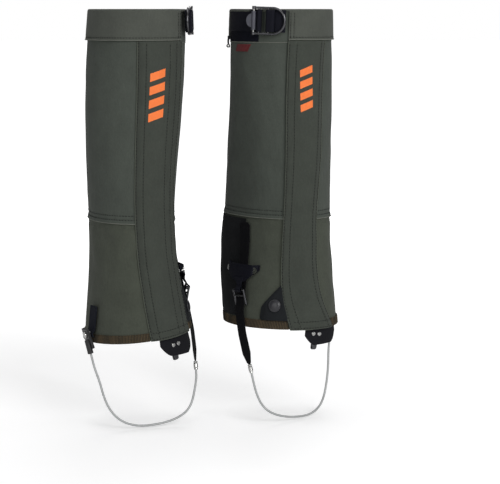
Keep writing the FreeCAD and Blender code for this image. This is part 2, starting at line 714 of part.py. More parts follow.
def instep_tab(side, stirrup):
    """Flared tab over the strap, ending in a sleeve round the ladder's top bar."""
    def flare(z):
        return max(0.0, min(1.0, (z - TAB_LOW) / TAB_FLARE))

    flared = sheet(stirrup.sign, lambda z: 92.0 - 13.5 * flare(z),
                   lambda z: 102.0 + 16.5 * flare(z), TAB_LOW, TAB_HIGH,
                   tab_offset(0.0), tab_offset(TAB_THICK), angle_step=2.5, height_step=4.0)
    outside = Part.makeBox(10.0, 10.6, 7.0, Vector(-5.0, -4.2, -3.5))
    opening = Part.makeBox(14.4, 6.0, 4.6, Vector(-7.2, -3.0, -2.3))
    sleeve = outside.cut(opening)
    sleeve_seat = axes_at(stirrup.top_bar, stirrup.outward, stirrup.upward)
    sleeve.Placement = sleeve_seat
    ends = (sleeve_seat.multVec(Vector(0, 5.6, 0)), leg(stirrup.sign, 97.0, 190.0, 8.75))
    link = ribbon([(end, stirrup.across, stirrup.outward, 9.6) for end in ends], TAB_THICK)
    feature(side, "instep_tab", flared.fuse([sleeve, link]).removeSplitter())


def tab_and_pivot_rivets(side, stirrup):
    """Two rivets through the instep tab and the pivot on the outer side."""
    rivets = []
    for name, angle in RIVET_ANGLES:
        place = seat(stirrup.sign, angle, RIVET_Z)
        surface = tab_offset(TAB_THICK)(angle, RIVET_Z)
        head = prim(side, "Cylinder", "RivetHead" + name,
                    place.multiply(moved(0, 0, surface + 0.15)),
                    Radius="Dims.rivet_head_radius", Height="Dims.rivet_head_height")
        shank = prim(side, "Cylinder", "RivetShank" + name, place.multiply(moved(0, 0, -1.5)),
                     Radius="Dims.rivet_shank_radius", Height=surface + 1.5 + 0.4)
        rivets.append(fuse(side, "Rivet" + name, [head, shank]))
    place = stirrup.pivot_seat
    shank = prim(side, "Cylinder", "PivotShank", place.multiply(moved(0, 0, -5.0)),
                 Radius="Dims.pivot_radius", Height=10.0)
    head = prim(side, "Cylinder", "PivotHead", place.multiply(moved(0, 0, 4.7)),
                Radius="Dims.pivot_head_radius", Height=1.5)
    rivets.append(fuse(side, "RivetPivot", [shank, head]))
    return rivets


def lateral_tab(side, stirrup):
    """Flat webbing down the outer side that carries the pivot."""
    turn = seat(stirrup.sign, LATERAL_ANGLE, 145.0).Rotation
    across, normal = turn.multVec(Vector(1, 0, 0)), turn.multVec(Vector(0, 0, 1))
    outward = stirrup.pivot_seat.Rotation.multVec(Vector(0, 0, 1))
    width = 18.0
    stations = [(leg(stirrup.sign, LATERAL_ANGLE, z, 3.4), across, normal, width)
                for z in (160.0, 150.0, 140.0, 130.0)]
    stations += [(stirrup.pivot_seat.multVec(Vector(0, y, -1.6)), across, outward, width)
                 for y in (0.0, -5.5)]
    feature(side, "lateral_tab", ribbon(stations, 1.6))


def cable_fitting(side, stirrup):
    """Eye plate on the pivot with a bored socket for the cable."""
    plate = prim(side, "Box", "FittingPlate", moved(-dim("fitting_width") / 2, -19.0, 0.6),
                 Length="Dims.fitting_width", Width=26.5, Height="Dims.fitting_thick")
    tube = prim(side, "Cylinder", "FittingTube", stirrup.tube_seat,
                Radius="Dims.fitting_tube", Height="Dims.fitting_tube_length")
    solid = fuse(side, "FittingBody", [plate, tube])
    eye = prim(side, "Cylinder", "FittingEye", moved(0, 0, -2.0),
               Radius="Dims.pivot_bore", Height=12.0)
    bore = prim(side, "Cylinder", "FittingBore", stirrup.tube_seat.multiply(moved(0, 0, 2.0)),
                Radius="Dims.cable_bore", Height="Dims.fitting_tube_length")
    fitting = cut(side, "Fitting1", cut(side, "Fitting0", solid, eye), bore)
    keep(side, "cable_fitting", fitting, stirrup.pivot_seat)


def stirrup_cable(side, stirrup):
    """Cable from the crimp, down under the instep and up into the fitting's socket."""
    sign, upward, tube_end = stirrup.sign, stirrup.upward, stirrup.tube_end
    # distance towards the inner side, y, z
    under_foot = [(73.0, -25.5, 42.0), (63.0, -33.0, 19.0), (42.0, -40.5, 7.2),
                  (12.0, -44.5, 2.2), (-14.0, -44.8, 3.2), (-35.0, -42.0, 12.6),
                  (-50.3, -37.0, 34.5)]
    points = [stirrup.cable_start + stirrup.crimp_dir * 14.0]
    points += [Vector(sign * inner, y, z) for inner, y, z in under_foot]
    points += [tube_end - upward * 34.0 + Vector(sign * 1.2, -2.4, 0), tube_end - upward * 15.0]
    feature(side, "stirrup_cable", tube_along(
        stirrup.cable_start, points, tube_end + upward * 8.0, dim("cable_radius")))


def cable_crimp(side, stirrup):
    """Sleeve with a groove near each end."""
    bore, radius, length = dim("crimp_bore"), dim("crimp_radius"), dim("crimp_length")
    groove = radius - 0.5
    crimp = turned(side, "cable_crimp", [
        (bore, 0), (groove, 0), (radius, 0.8), (groove, 2.2), (radius, 3.6),
        (radius, length - 3.0), (groove, length - 1.6), (radius - 0.3, length),
        (bore, length)])
    start = stirrup.cable_start - stirrup.crimp_dir * 1.4
    keep(side, "cable_crimp", crimp, axes_at(start, stirrup.crimp_dir, Vector(0, 1, 0)))


# ---------------------------------------------------------------- lace hook
HOOK_ANGLE = {"right": 26.0, "left": 10.0}
HOOK_HOLES = (("A", -4.6), ("B", 4.6))      # rivet name, x of its hole


def hook_seat(side):
    return seat(SIGN[side], HOOK_ANGLE[side], TONGUE[side][2] + 15.0, -4.7)


def lace_hook(side):
    """Tapered plate behind the tongue with a bent lip at its lower end."""
    half, length, thick = dim("hook_width") / 2, dim("hook_length"), dim("hook_thick")
    waist, foot, tip = half * 0.42, half * 0.34, -length - 1.2
    body = new_body(side, "lace_hook")
    sketch = sketch_on(body, "XY_Plane", "HookPlate_" + side)
    draw_poly(sketch, [
        (-half, 3.2), (-half + 1.5, 4.7), (half - 1.5, 4.7), (half, 3.2), (half, -3.0),
        (waist, -length + 4.0), (foot, -length), (-foot, -length),
        (-waist, -length + 4.0), (-half, -3.0)])
    for _, x in HOOK_HOLES:
        draw_circle(sketch, x, 0, "hook_bore")
    body_step(body, "Pad", "HookPlatePad_" + side, sketch, Reversed=True,
              Length="Dims.hook_thick")
    sketch = sketch_on(body, "YZ_Plane", "HookLip_" + side)
    draw_poly(sketch, [
        (-length + 2.2, 0.0), (-length, 0.0), (tip, -1.6), (tip, -4.4),
        (-length, -6.0), (-length + 6.0, -6.0), (-length + 6.0, -4.8), (-length + 0.4, -4.8),
        (-length, -4.2), (-length, -1.9), (-length + 0.4, -thick), (-length + 2.2, -thick)])
    body_step(body, "Pad", "HookLipPad_" + side, sketch, Midplane=True, Length=4.4)
    keep(side, "lace_hook", body, hook_seat(side))


def hook_rivets(side):
    rivets = []
    for name, x in HOOK_HOLES:
        rivet = turned(side, "HookRivet" + name, [
            (0, 3.9), (2.0, 3.9), (2.9, 3.0), (1.6, 3.0), (1.6, -1.55), (2.8, -1.55),
            (2.4, -2.5), (0, -2.7)])
        rivet.Placement = hook_seat(side).multiply(moved(x, 0, 0))
        rivets.append(rivet)
    return rivets


# ---------------------------------------------------------------- both gaiters
def build(side):
    for make in (leg_panels, top_band, front_flap, under_placket, hem_elastic, snap,
                 buckle_frame, lever_pin, buckle_lever, strap_anchor, top_strap,
                 cord_pull, side_tab):
        make(side)
    stirrup = Stirrup(side)
    for make in (instep_strap, ladder_buckle, instep_tab, lateral_tab, cable_fitting,
                 stirrup_cable, cable_crimp):
        make(side, stirrup)
    lace_hook(side)
    rivets = doc.addObject("Part::Compound", "Rivets_" + side)
    rivets.Links = tab_and_pivot_rivets(side, stirrup) + hook_rivets(side)
    keep(side, "rivets", rivets)


for side in ("right", "left"):
    build(side)
doc.recompute()

# ---------------------------------------------------------------- check and export
failed = [(obj.Name, list(obj.State)) for obj in doc.Objects
          if "Invalid" in obj.State or "Error" in obj.State]
for name, obj in pieces.items():
    if obj.Shape.isNull() or not obj.Shape.isValid() or not obj.Shape.Solids:
        failed.append((name, "shape"))
if failed:
    raise RuntimeError("failed objects: %s" % failed)
for name, obj in sorted(pieces.items()):
    obj.Shape.exportStep("parts/%s.step" % name)
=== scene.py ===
"""A pair of gaiters standing side by side as if worn, fronts toward -Y, +Z up, in metres.

Each gaiter is drawn in its own leg frame in millimetres: the front of the leg is -Y, and z is the
height above the floor. Angles run in degrees from the front (0) round the inner side of the leg
(90) to the back (180) and the outer side (270 or -90). The leg frames are then turned and set
apart to make the row. Cloth lies at an offset, in millimetres, outside the leg surface.
"""
import bmesh
import bpy
import json
import math
import numpy as np
from functools import partial
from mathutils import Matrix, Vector

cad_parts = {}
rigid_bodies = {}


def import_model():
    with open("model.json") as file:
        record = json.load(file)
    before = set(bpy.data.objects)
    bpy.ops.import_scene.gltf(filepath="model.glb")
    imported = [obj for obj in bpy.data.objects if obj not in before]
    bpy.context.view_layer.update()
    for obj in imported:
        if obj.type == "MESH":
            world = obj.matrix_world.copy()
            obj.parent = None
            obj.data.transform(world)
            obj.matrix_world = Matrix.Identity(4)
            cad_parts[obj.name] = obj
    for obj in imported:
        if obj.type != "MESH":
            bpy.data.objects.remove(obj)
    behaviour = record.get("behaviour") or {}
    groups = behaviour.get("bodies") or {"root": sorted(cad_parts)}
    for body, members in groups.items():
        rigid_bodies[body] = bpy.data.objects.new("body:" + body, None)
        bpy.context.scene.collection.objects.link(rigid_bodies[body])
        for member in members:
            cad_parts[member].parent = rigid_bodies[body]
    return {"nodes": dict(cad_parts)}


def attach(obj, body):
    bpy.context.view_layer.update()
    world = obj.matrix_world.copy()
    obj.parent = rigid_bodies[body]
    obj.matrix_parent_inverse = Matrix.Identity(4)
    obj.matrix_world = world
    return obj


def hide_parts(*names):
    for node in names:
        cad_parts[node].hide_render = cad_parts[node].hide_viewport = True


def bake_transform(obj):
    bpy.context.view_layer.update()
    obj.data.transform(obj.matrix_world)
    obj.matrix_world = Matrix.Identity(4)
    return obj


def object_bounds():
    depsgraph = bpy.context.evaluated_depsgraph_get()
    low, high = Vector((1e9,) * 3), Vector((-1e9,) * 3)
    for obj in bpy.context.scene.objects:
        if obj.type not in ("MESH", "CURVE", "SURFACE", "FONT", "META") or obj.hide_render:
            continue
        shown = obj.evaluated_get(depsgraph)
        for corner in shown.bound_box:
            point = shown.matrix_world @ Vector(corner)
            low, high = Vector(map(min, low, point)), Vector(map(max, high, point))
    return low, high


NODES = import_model()["nodes"]
CAD_BOX = [list(map(float, corner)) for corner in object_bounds()]
MM = 0.001

# ---------------------------------------------------------------- driving dimensions (mm, degrees)
SIDES = ("right", "left")
SIGN = {"right": 1, "left": -1}     # direction of local x that points to the inner side
YAW = {"right": 18.0, "left": 45.0}
ORIGIN = {"right": (-99.465, -25.012), "left": (92.535, 24.988)}

# leg sections, height: (half width, front reach, back reach, centre towards the inner side)
LEVELS = {
    120: (69.8, 83.0, 75.5, 3.3), 135: (66.7, 82.5, 82.6, 2.0), 160: (62.5, 81.0, 90.3, 0.6),
    190: (58.2, 78.0, 97.5, -0.8), 220: (55.2, 74.0, 101.1, -2.3), 260: (54.0, 70.0, 98.9, -3.0),
    300: (55.3, 68.5, 94.0, -3.7), 350: (58.5, 68.5, 87.1, -3.2), 400: (61.7, 69.0, 78.4, -1.3),
    450: (63.4, 70.5, 71.0, 1.1), 500: (62.8, 72.5, 67.4, 3.2), 540: (60.5, 74.0, 65.8, 4.2),
}
LEVEL_HEIGHTS = sorted(LEVELS)
LEVEL_COLUMNS = list(zip(*(LEVELS[height] for height in LEVEL_HEIGHTS)))

# edges of the front flap, height: angle
SEWN_EDGE = {
    "right": {500: -15.5, 430: -13.5, 350: -13.6, 270: -15.0, 210: -13.0, 160: -8.5, 125: -4.5,
              110: -3.5},
    "left": {500: -8.4, 430: -3.6, 350: 0.9, 290: 7.0, 230: 11.0, 190: 10.5, 160: 3.0,
             125: -14.0, 110: -20.0},
}
FREE_EDGE = {
    "right": {500: 44.0, 430: 44.5, 350: 45.5, 270: 46.5, 210: 48.0, 160: 49.0, 125: 48.5,
              110: 48.0},
    "left": {500: 40.8, 430: 43.3, 350: 47.1, 270: 51.7, 240: 53.6, 210: 54.6, 185: 53.8,
             160: 50.1, 125: 41.0, 110: 38.0},
}
# the straight line the flap folds about, at its bottom and top ends
FOLD_Z = (110.0, 505.0)
FOLD_Y = (-88.0, -77.6)
FOLD_X = {"right": (1.5, -9.0), "left": (19.0, 6.0)}    # towards the inner side

HEM_HEIGHT = {"right": 120.0, "left": 126.0}
HEM_SLOPE = {"right": 0.12, "left": 0.0}
SEAM_Z = 269.0          # seam between the ankle and upper cloth
UPPER_BOTTOM = SEAM_Z - 0.4
BAND_Z, TOP_Z = 501.6, 540.0
UNDERLAP = 22.0         # main cloth runs on this many degrees before the free edge

BAND_START, BAND_OFFSET = 134.0, 2.7
PATCH_START, PATCH_END, PATCH_OFFSET = 99.0, 168.0, 1.25
SEWN_ROWS = (2.0, 11.5)
FREE_ROWS = {"right": (2.2, 11.5, 23.0), "left": (2.2, 12.8)}
FLAP_HEM_ROWS = (2.2, 10.5)
FLAP_HEM_RISE = 0.35
# slanted print bars: middle angle, angular width, bottom and top of the whole set
PRINT = {"right": (9.3, 18.6, 402.0, 470.0), "left": (20.8, 15.6, 412.0, 472.0)}
TONGUE = {"right": (31.0, 25.0, 98.0), "left": (-2.0, 26.0, 104.0)}  # middle, half width, bottom
SIDE_TAB_Z, SIDE_TAB_LEAN = 486.5, 0.45

BUCKLE_ANGLE, BUCKLE_Z = 63.5, 526.0
BUCKLE_PLANE = 7.0      # height of the buckle's wires off the leg
WIRE_RADIUS = 1.6
WEB_BEND = WIRE_RADIUS + 0.3 + 0.75     # wire, clearance and half the webbing
TOP_WEB_WIDTH = 28.6

LADDER_TILT = 24.4
OUTER_TAB_ANGLE, OUTER_TAB_OFFSET = -73.0, 3.4
PATH_STEP = 1.2         # spacing of cross-sections along free webbing
UV_RADIUS = 66.0        # mean leg radius that turns angles into cloth lengths

WRINKLE_PHASE = {"right": 3.1, "left": 7.7}
# places kept smooth under fittings: angle, angular spread, height, height spread
CALM_SPOTS = ((98.0, 26.0, 190.0, 60.0), (57.0, 16.0, 158.0, 30.0), (-73.0, 14.0, 140.0, 28.0))


# ---------------------------------------------------------------- curves and vectors
def cubic(knots, values, x):
    """Cubic Hermite curve through the knots, carried on straight beyond both ends."""
    x = np.asarray(x, float)
    knots = np.asarray(knots, float)
    values = np.asarray(values, float)
    order = np.arange(len(knots))
    before = np.maximum(order - 1, 0)
    after = np.minimum(order + 1, len(knots) - 1)
    slope = (values[after] - values[before]) / (knots[after] - knots[before])
    i = np.clip(np.searchsorted(knots, x, side="right") - 1, 0, len(knots) - 2)
    width = knots[i + 1] - knots[i]
    q = (x - knots[i]) / width
    inside = ((2 * q ** 3 - 3 * q * q + 1) * values[i]
              + (q ** 3 - 2 * q * q + q) * width * slope[i]
              + (3 * q * q - 2 * q ** 3) * values[i + 1]
              + (q ** 3 - q * q) * width * slope[i + 1])
    low = values[0] + (x - knots[0]) * (values[1] - values[0]) / (knots[1] - knots[0])
    high = values[-1] + (x - knots[-1]) * (values[-1] - values[-2]) / (knots[-1] - knots[-2])
    return np.where(x <= knots[0], low, np.where(x >= knots[-1], high, inside))


def ramp01(q):
    return np.clip(q, 0, 1)


def smooth01(q):
    q = ramp01(q)
    return q * q * (3 - 2 * q)


def unit(v):
    v = np.asarray(v, float)
    return v / np.maximum(np.linalg.norm(v, axis=-1, keepdims=True), 1e-12)


def as_curve(value):
    """A function as it is, or a number as a constant function."""
    if callable(value):
        return value
    return lambda x: value + 0.0 * np.asarray(x, float)


def arc_lengths(points):
    """Distance along the path at each of its points."""
    steps = np.linalg.norm(np.diff(points, axis=0), axis=1)
    return np.concatenate([[0], np.cumsum(steps)])


def interp_rows(at, stations, rows):
    columns = np.asarray(rows, float).T
    return np.stack([np.interp(at, stations, column) for column in columns], -1)


def path_steps(length):
    return np.append(np.arange(0, length, PATH_STEP), length)


def soften(rows, reach):
    """Moving average over reach rows either way, with the end rows repeated."""
    padded = np.concatenate([np.repeat(rows[:1], reach, 0), rows, np.repeat(rows[-1:], reach, 0)])
    window = np.ones(2 * reach + 1) / (2 * reach + 1)
    return np.stack([np.convolve(column, window, "valid") for column in padded.T], -1)


# ---------------------------------------------------------------- the leg surface
def leg_section(z):
    """Half width, front reach, back reach and centre at height z."""
    return (cubic(LEVEL_HEIGHTS, column, z) for column in LEVEL_COLUMNS)


def leg(side, angle, z, offset=0.0):
    """Point in the leg frame, offset mm outside the leg surface."""
    angle, z, offset = np.broadcast_arrays(np.asarray(angle, float), np.asarray(z, float), offset)
    half_width, front, back, centre = leg_section(z)
    turn = np.radians(angle)
    reach = np.where(np.cos(turn) >= 0, front, back)
    return np.stack([SIGN[side] * (centre + (half_width + offset) * np.sin(turn)),
                     -(reach + offset) * np.cos(turn), z * 1.0], -1)


def to_row(side, points):
    """Leg frame in mm to row frame in metres."""
    points = np.asarray(points, float)
    yaw = math.radians(YAW[side])
    x = points[..., 0] * math.cos(yaw) - points[..., 1] * math.sin(yaw) + ORIGIN[side][0]
    y = points[..., 0] * math.sin(yaw) + points[..., 1] * math.cos(yaw) + ORIGIN[side][1]
    return np.stack([x, y, points[..., 2]], -1) * MM


def edge_angle(edge, z):
    heights = sorted(edge)
    angles = [edge[height] for height in heights]
    return cubic(heights, angles, np.clip(z, heights[0], heights[-1]))


def free_edge(side, z):
    return edge_angle(FREE_EDGE[side], z)


def sewn_edge(side, z):
    return edge_angle(SEWN_EDGE[side], z)


def along_fold(ends, z):
    return ends[0] + (ends[1] - ends[0]) * (np.asarray(z, float) - FOLD_Z[0]) \
        / (FOLD_Z[1] - FOLD_Z[0])


def fold_angle(side, z):
    half_width, _, _, centre = leg_section(z)
    return np.degrees(np.arcsin((along_fold(FOLD_X[side], z) - centre) / (half_width + 3.0)))


def hem_z(side, angle, lift=0.0):
    """Height of the sloped hem plane where it meets the leg surface, found by iteration."""
    base = HEM_HEIGHT[side] + lift
    z = np.full_like(np.asarray(angle, float), base)
    for _ in range(12):
        z = base + HEM_SLOPE[side] * SIGN[side] * leg(side, angle, z)[..., 0]
    return z


def hem_line(side, lift):
    return lambda angle: hem_z(side, angle, lift)


def wrinkle(side, angle, z):
    """Cloth relief in mm, shared by all layers so that they keep their order."""
    angle = np.asarray(angle, float)
    z = np.asarray(z, float)
    phase = WRINKLE_PHASE[side]
    turn = np.radians(angle)
    rise = z / 100.0
    # each term is a height in mm times waves round the leg (turn) and up it (rise)
    warp = (0.35 * np.sin(2.1 * rise + 1.7 * np.sin(turn + phase))
            + 0.2 * np.sin(5.3 * rise + 2 * turn + phase))
    broad = 0.75 * np.sin(3 * turn + 1.3 * rise + phase + warp) * np.sin(1.9 * rise + phase)
    upright = (0.45 * np.sin(9 * turn + 1.2 * np.sin(1.7 * rise + phase) + 2.0 * warp)
               * (0.5 + 0.5 * np.sin(1.3 * rise + 2.0 * phase)))
    at_ankle = np.exp(-((z - 235.0) / 55.0) ** 2)
    slanted = (at_ankle * 0.7 * (0.6 + 0.4 * np.sin(2 * turn + phase))
               * np.sin(10.0 * rise + 3.2 * turn + 1.5 * np.sin(2 * turn + phase)))
    fine = (0.16 * np.sin(17 * turn + 7.1 * rise + 3 * np.sin(3.3 * rise + phase))
            + 0.10 * np.sin(31 * turn - 12.7 * rise + 2 * np.sin(5 * turn + 2 * rise)))
    # flat at the hem, nearly flat under the top band, calm under the fittings
    fade = ramp01((z - 118.0) / 40.0) * np.clip((508.0 - z) / 30.0, 0.12, 1)
    wrapped = (angle + 180.0) % 360.0 - 180.0
    calm = sum(np.exp(-((wrapped - middle) / spread) ** 2 - ((z - height) / spread_z) ** 2)
               for middle, spread, height, spread_z in CALM_SPOTS)
    return (broad + upright + slanted + fine) * fade * (1 - 0.85 * ramp01(calm))


def cloth_points(side, angle, z, offset):
    return leg(side, angle, z, offset + wrinkle(side, angle, z))


def cloth_normals(side, angle, z):
    relief = wrinkle(side, angle, z)
    across = leg(side, angle - 0.5, z, relief) - leg(side, angle + 0.5, z, relief)
    up = leg(side, angle, z + 1, relief) - leg(side, angle, z - 1, relief)
    normals = unit(np.cross(across, up))
    outward = leg(side, angle, z, 5.0) - leg(side, angle, z, 0.0)
    return normals * np.sign((normals * outward).sum(-1, keepdims=True))


def seat(side, angle, z, offset=0.0):
    """Frame of a fitting on the leg: origin, across, up and outward directions."""
    up = unit(leg(side, angle, z + 6) - leg(side, angle, z - 6))
    girth = leg(side, angle - 3, z) - leg(side, angle + 3, z)
    outward = unit(np.cross(girth, up))
    if outward.dot(leg(side, angle, z) - np.array([0, 0, z])) < 0:
        outward = -outward
    across = unit(np.cross(up, outward))
    return leg(side, angle, z) + outward * offset, across, up, outward


def on_seat(frame, x, y, z):
    origin, across, up, outward = frame
    return origin + across * x + up * y + outward * z


# ---------------------------------------------------------------- mesh helpers
def make_mesh(side, name, points, faces, uvs):
    """Smooth-shaded object from leg-frame points, with its normals made consistent."""
    mesh = bpy.data.meshes.new(f"{side}_{name}")
    mesh.from_pydata([tuple(point) for point in to_row(side, points)], [], faces)
    mesh.validate(clean_customdata=False)
    mesh.update()
    mesh.polygons.foreach_set("use_smooth", [True] * len(mesh.polygons))
    layer = mesh.uv_layers.new(name="UVMap")
    corners = np.zeros(len(mesh.loops), np.int32)
    mesh.loops.foreach_get("vertex_index", corners)
    layer.data.foreach_set("uv", np.asarray(uvs, np.float32)[corners].ravel())
    obj = bpy.data.objects.new(f"{side}_{name}", mesh)
    bpy.context.scene.collection.objects.link(obj)
    work = bmesh.new()
    work.from_mesh(mesh)
    bmesh.ops.recalc_face_normals(work, faces=work.faces)
    work.to_mesh(mesh)
    work.free()
    return obj


def grid_solid(side, name, outer, inner, uv):
    """Closed solid between two matching grids of points (rows, columns, 3)."""
    rows, columns = outer.shape[:2]
    count = rows * columns
    points = np.concatenate([outer.reshape(-1, 3), inner.reshape(-1, 3)])
    index = np.arange(count).reshape(rows, columns)
    a, b, c, d = index[:-1, :-1], index[:-1, 1:], index[1:, 1:], index[1:, :-1]
    faces = np.stack([a, b, c, d], -1).reshape(-1, 4).tolist()
    faces += (np.stack([a, d, c, b], -1).reshape(-1, 4) + count).tolist()
    for rim in (index[0], index[-1, ::-1], index[::-1, 0], index[:, -1]):
        rim = rim.tolist()
        for this, following in zip(rim, rim[1:]):
            faces.append([this, this + count, following + count, following])
    return make_mesh(side, name, points, faces, np.tile(uv.reshape(-1, 2), (2, 1)))


def spaced(length, step, marks, edge):
    """Positions 0..length, denser near both ends and round each mark."""
    places = list(np.linspace(0, length, max(3, int(length / step) + 1)))
    for inset in (0.12, 0.35, edge):
        places += [inset, length - inset]
    for mark in marks:
        places += [mark - 1.3, mark - 0.65, mark, mark + 0.65, mark + 1.3]
    places = sorted(place for place in places if 0 <= place <= length)
    kept = [places[0]]
    for place in places[1:]:
        if place - kept[-1] > 0.09:
            kept.append(place)
    kept[-1] = length
    return np.array(kept)


def rounded(distance, edge):
    """Quarter-circle rise from 0 at an edge to 1 at the given distance from it."""
    q = ramp01(distance / edge)
    return np.sqrt(ramp01(1 - (1 - q) ** 2))


def cloth_length(side, start, end, bottom, top):
    """Longest of three girths of a piece: near its bottom, its middle and its top."""
    low, high = float(bottom(30.0)), float(top(30.0))

    def girth(z):
        angles = np.linspace(float(start(z)), float(end(z)), 60)
        return float(arc_lengths(leg(side, angles, z))[-1])
    return max(girth(0.5 * (low + high)), girth(low + 5), girth(high - 5))


def fabric(side, name, start, end, bottom, top, offset, thick, step=2.6, step_z=3.0, rows={},
           hems={}, hem_rise=0.45, groove=0.38, edge=0.7, wrinkles=1.0, relief=None):
    """Cloth piece on the leg.

    start, end: angles, as numbers or functions of height. bottom, top: heights, as numbers or
    functions of angle. offset: of the outer face, a number or a function of angle and height.
    rows: distances of the stitch rows from each named edge. hems: hem widths at each named edge.
    """
    start, end, bottom, top = map(as_curve, (start, end, bottom, top))
    length = cloth_length(side, start, end, bottom, top)
    probe = np.array([0.0, 90.0, 180.0])
    height = float(np.max(top(probe) - bottom(probe)))

    def stations(size, spacing, near, far):
        marks = list(rows.get(near, ())) + [size - row for row in rows.get(far, ())]
        return spaced(size, spacing, marks, edge) / size
    up, across = np.meshgrid(stations(height, step_z, "bottom", "top"),
                             stations(length, step, "start", "end"), indexing="ij")
    # height depends on angle and angle on height: a few rounds settle both
    z = 120 + 0 * up
    angle = start(z) + (end(z) - start(z)) * across
    for _ in range(8):
        low, high = bottom(angle), top(angle)
        z = low + (high - low) * up
        angle = start(z) + (end(z) - start(z)) * across

    girth = np.radians(angle) * UV_RADIUS
    # for each edge: distance from it and position along it
    edges = {"start": (across * length, z), "end": ((1 - across) * length, z),
             "bottom": (up * height, girth), "top": ((1 - up) * height, girth)}
    level = (offset(angle, z) if callable(offset) else offset) + 0 * z
    for key, width in hems.items():
        level = level + hem_rise * smooth01((width + 0.8 - edges[key][0]) / 1.6)
    for key, (distance, along) in edges.items():
        for row in rows.get(key, ()):
            # stitched channel with slow puckers beside it
            channel = np.exp(-((distance - row) / 0.8) ** 2)
            beside = np.exp(-((distance - row) / 2.6) ** 2)
            level = level - groove * channel
            level = level - 0.10 * beside * (1 - np.cos(2 * np.pi * along / 13.2))
            level = level + 0.07 * beside * np.sin(2 * np.pi * along / 9.9
                                                   + 2.0 * np.sin(along / 9.0))
    if relief is not None:
        level = level + relief(angle, edges["bottom"][0])
    level = level + wrinkles * wrinkle(side, angle, z)

    nearest = np.minimum.reduce([rounded(distance, edge) for distance, _ in edges.values()])
    half = 0.5 * thick * np.maximum(nearest, 0.06)
    middle = level - 0.5 * thick
    return grid_solid(side, name, leg(side, angle, z, middle + half),
                      leg(side, angle, z, middle - half), np.stack([girth * MM, z * MM], -1))


def strip(side, name, path, normals, across, width, thick, columns):
    """Webbing along a centre line, with its face normals and width directions."""
    path = np.asarray(path, float)
    across = unit(across)
    normals = unit(normals)
    normals = unit(normals - across * (normals * across).sum(-1, keepdims=True))
    width = np.broadcast_to(np.asarray(width, float), (len(path),))[:, None]
    widest = float(width.max())
    edge = 0.6
    fractions = spaced(widest, widest / columns, (), edge) / widest - 0.5
    fraction, along = np.meshgrid(fractions, arc_lengths(path), indexing="xy")
    centre = path[:, None, :] + across[:, None, :] * (fraction * width)[..., None]
    side_round = rounded((0.5 - np.abs(fraction)) * width, edge)
    end_round = np.minimum(rounded(along, 0.5), rounded(along[-1, 0] - along, 0.5))
    half = 0.5 * thick * np.maximum(np.minimum(side_round, end_round), 0.08)
    shift = normals[:, None, :] * half[..., None]
    uv = np.stack([fraction * width * MM, along * MM], -1)
    return grid_solid(side, name, centre + shift, centre - shift, uv)


def bent_strip(side, name, path, across, width, thick, columns):
    """Webbing whose bends all turn about one width direction."""
    path = np.array(path)
    across = np.tile(across, (len(path), 1))
    normals = np.cross(unit(np.gradient(path, axis=0)), across)
    return strip(side, name, path, normals, across, width, thick, columns)


def ring_quads(rings, segments):
    """Quads between successive rings of points."""
    faces = []
    for i in range(rings - 1):
        for k in range(segments):
            after = (k + 1) % segments
            faces.append([i * segments + k, i * segments + after,
                          (i + 1) * segments + after, (i + 1) * segments + k])
    return faces


def tube(side, name, path, radius, segments, capped=True):
    path = np.asarray(path, float)
    count = len(path)
    tangents = unit(np.gradient(path, axis=0))
    normals = np.zeros_like(path)
    guess = np.array([0.0, 1.0, 0.0] if abs(tangents[0][1]) < 0.8 else [1.0, 0.0, 0.0])
    for i, tangent in enumerate(tangents):
        # carry the previous normal along, so that the tube doesn't twist
        guess = unit(guess - tangent * guess.dot(tangent))
        normals[i] = guess
    binormals = np.cross(tangents, normals)
    radius = np.broadcast_to(np.asarray(radius, float), (count,))[:, None, None]
    turn = np.linspace(0, 2 * np.pi, segments, endpoint=False)[None, :, None]
    rings = path[:, None, :] + radius * (normals[:, None, :] * np.cos(turn)
                                         + binormals[:, None, :] * np.sin(turn))
    points = list(rings.reshape(-1, 3))
    along = arc_lengths(path)
    uvs = [[k / segments * 0.01, place * MM] for place in along for k in range(segments)]
    faces = ring_quads(count, segments)
    if capped:
        points += [path[0], path[-1]]
        uvs += [[0, 0], [0, along[-1] * MM]]
        first, last = len(points) - 2, len(points) - 1
        base = (count - 1) * segments
        for k in range(segments):
            after = (k + 1) % segments
            faces.append([first, after, k])
            faces.append([last, base + k, base + after])
    return make_mesh(side, name, np.array(points), faces, uvs)


def lathe(side, name, frame, profile, segments=64):
    """Solid of revolution about a seat's outward axis.

    profile: (radius, height) from the top to the bottom, both ends on the axis.
    """
    def place(radius, height, turn):
        return on_seat(frame, radius * math.cos(turn), radius * math.sin(turn), height)
    rings = profile[1:-1]
    points = [place(0, profile[0][1], 0)]
    uvs = [[0, 0]]
    for radius, height in rings:
        for k in range(segments):
            points.append(place(radius, height, 2 * math.pi * k / segments))
            uvs.append([radius * MM, k / segments * 0.05])
    points.append(place(0, profile[-1][1], 0))
    uvs.append([0, 0])
    last = len(points) - 1
    base = last - segments
    spokes = [(k, (k + 1) % segments) for k in range(segments)]
    faces = [[0, 1 + k, 1 + after] for k, after in spokes]
    for upper in range(1, base, segments):
        lower = upper + segments
        faces += [[upper + k, lower + k, lower + after, upper + after] for k, after in spokes]
    faces += [[base + k, last, base + after] for k, after in spokes]
    return make_mesh(side, name, np.array(points), faces, uvs)


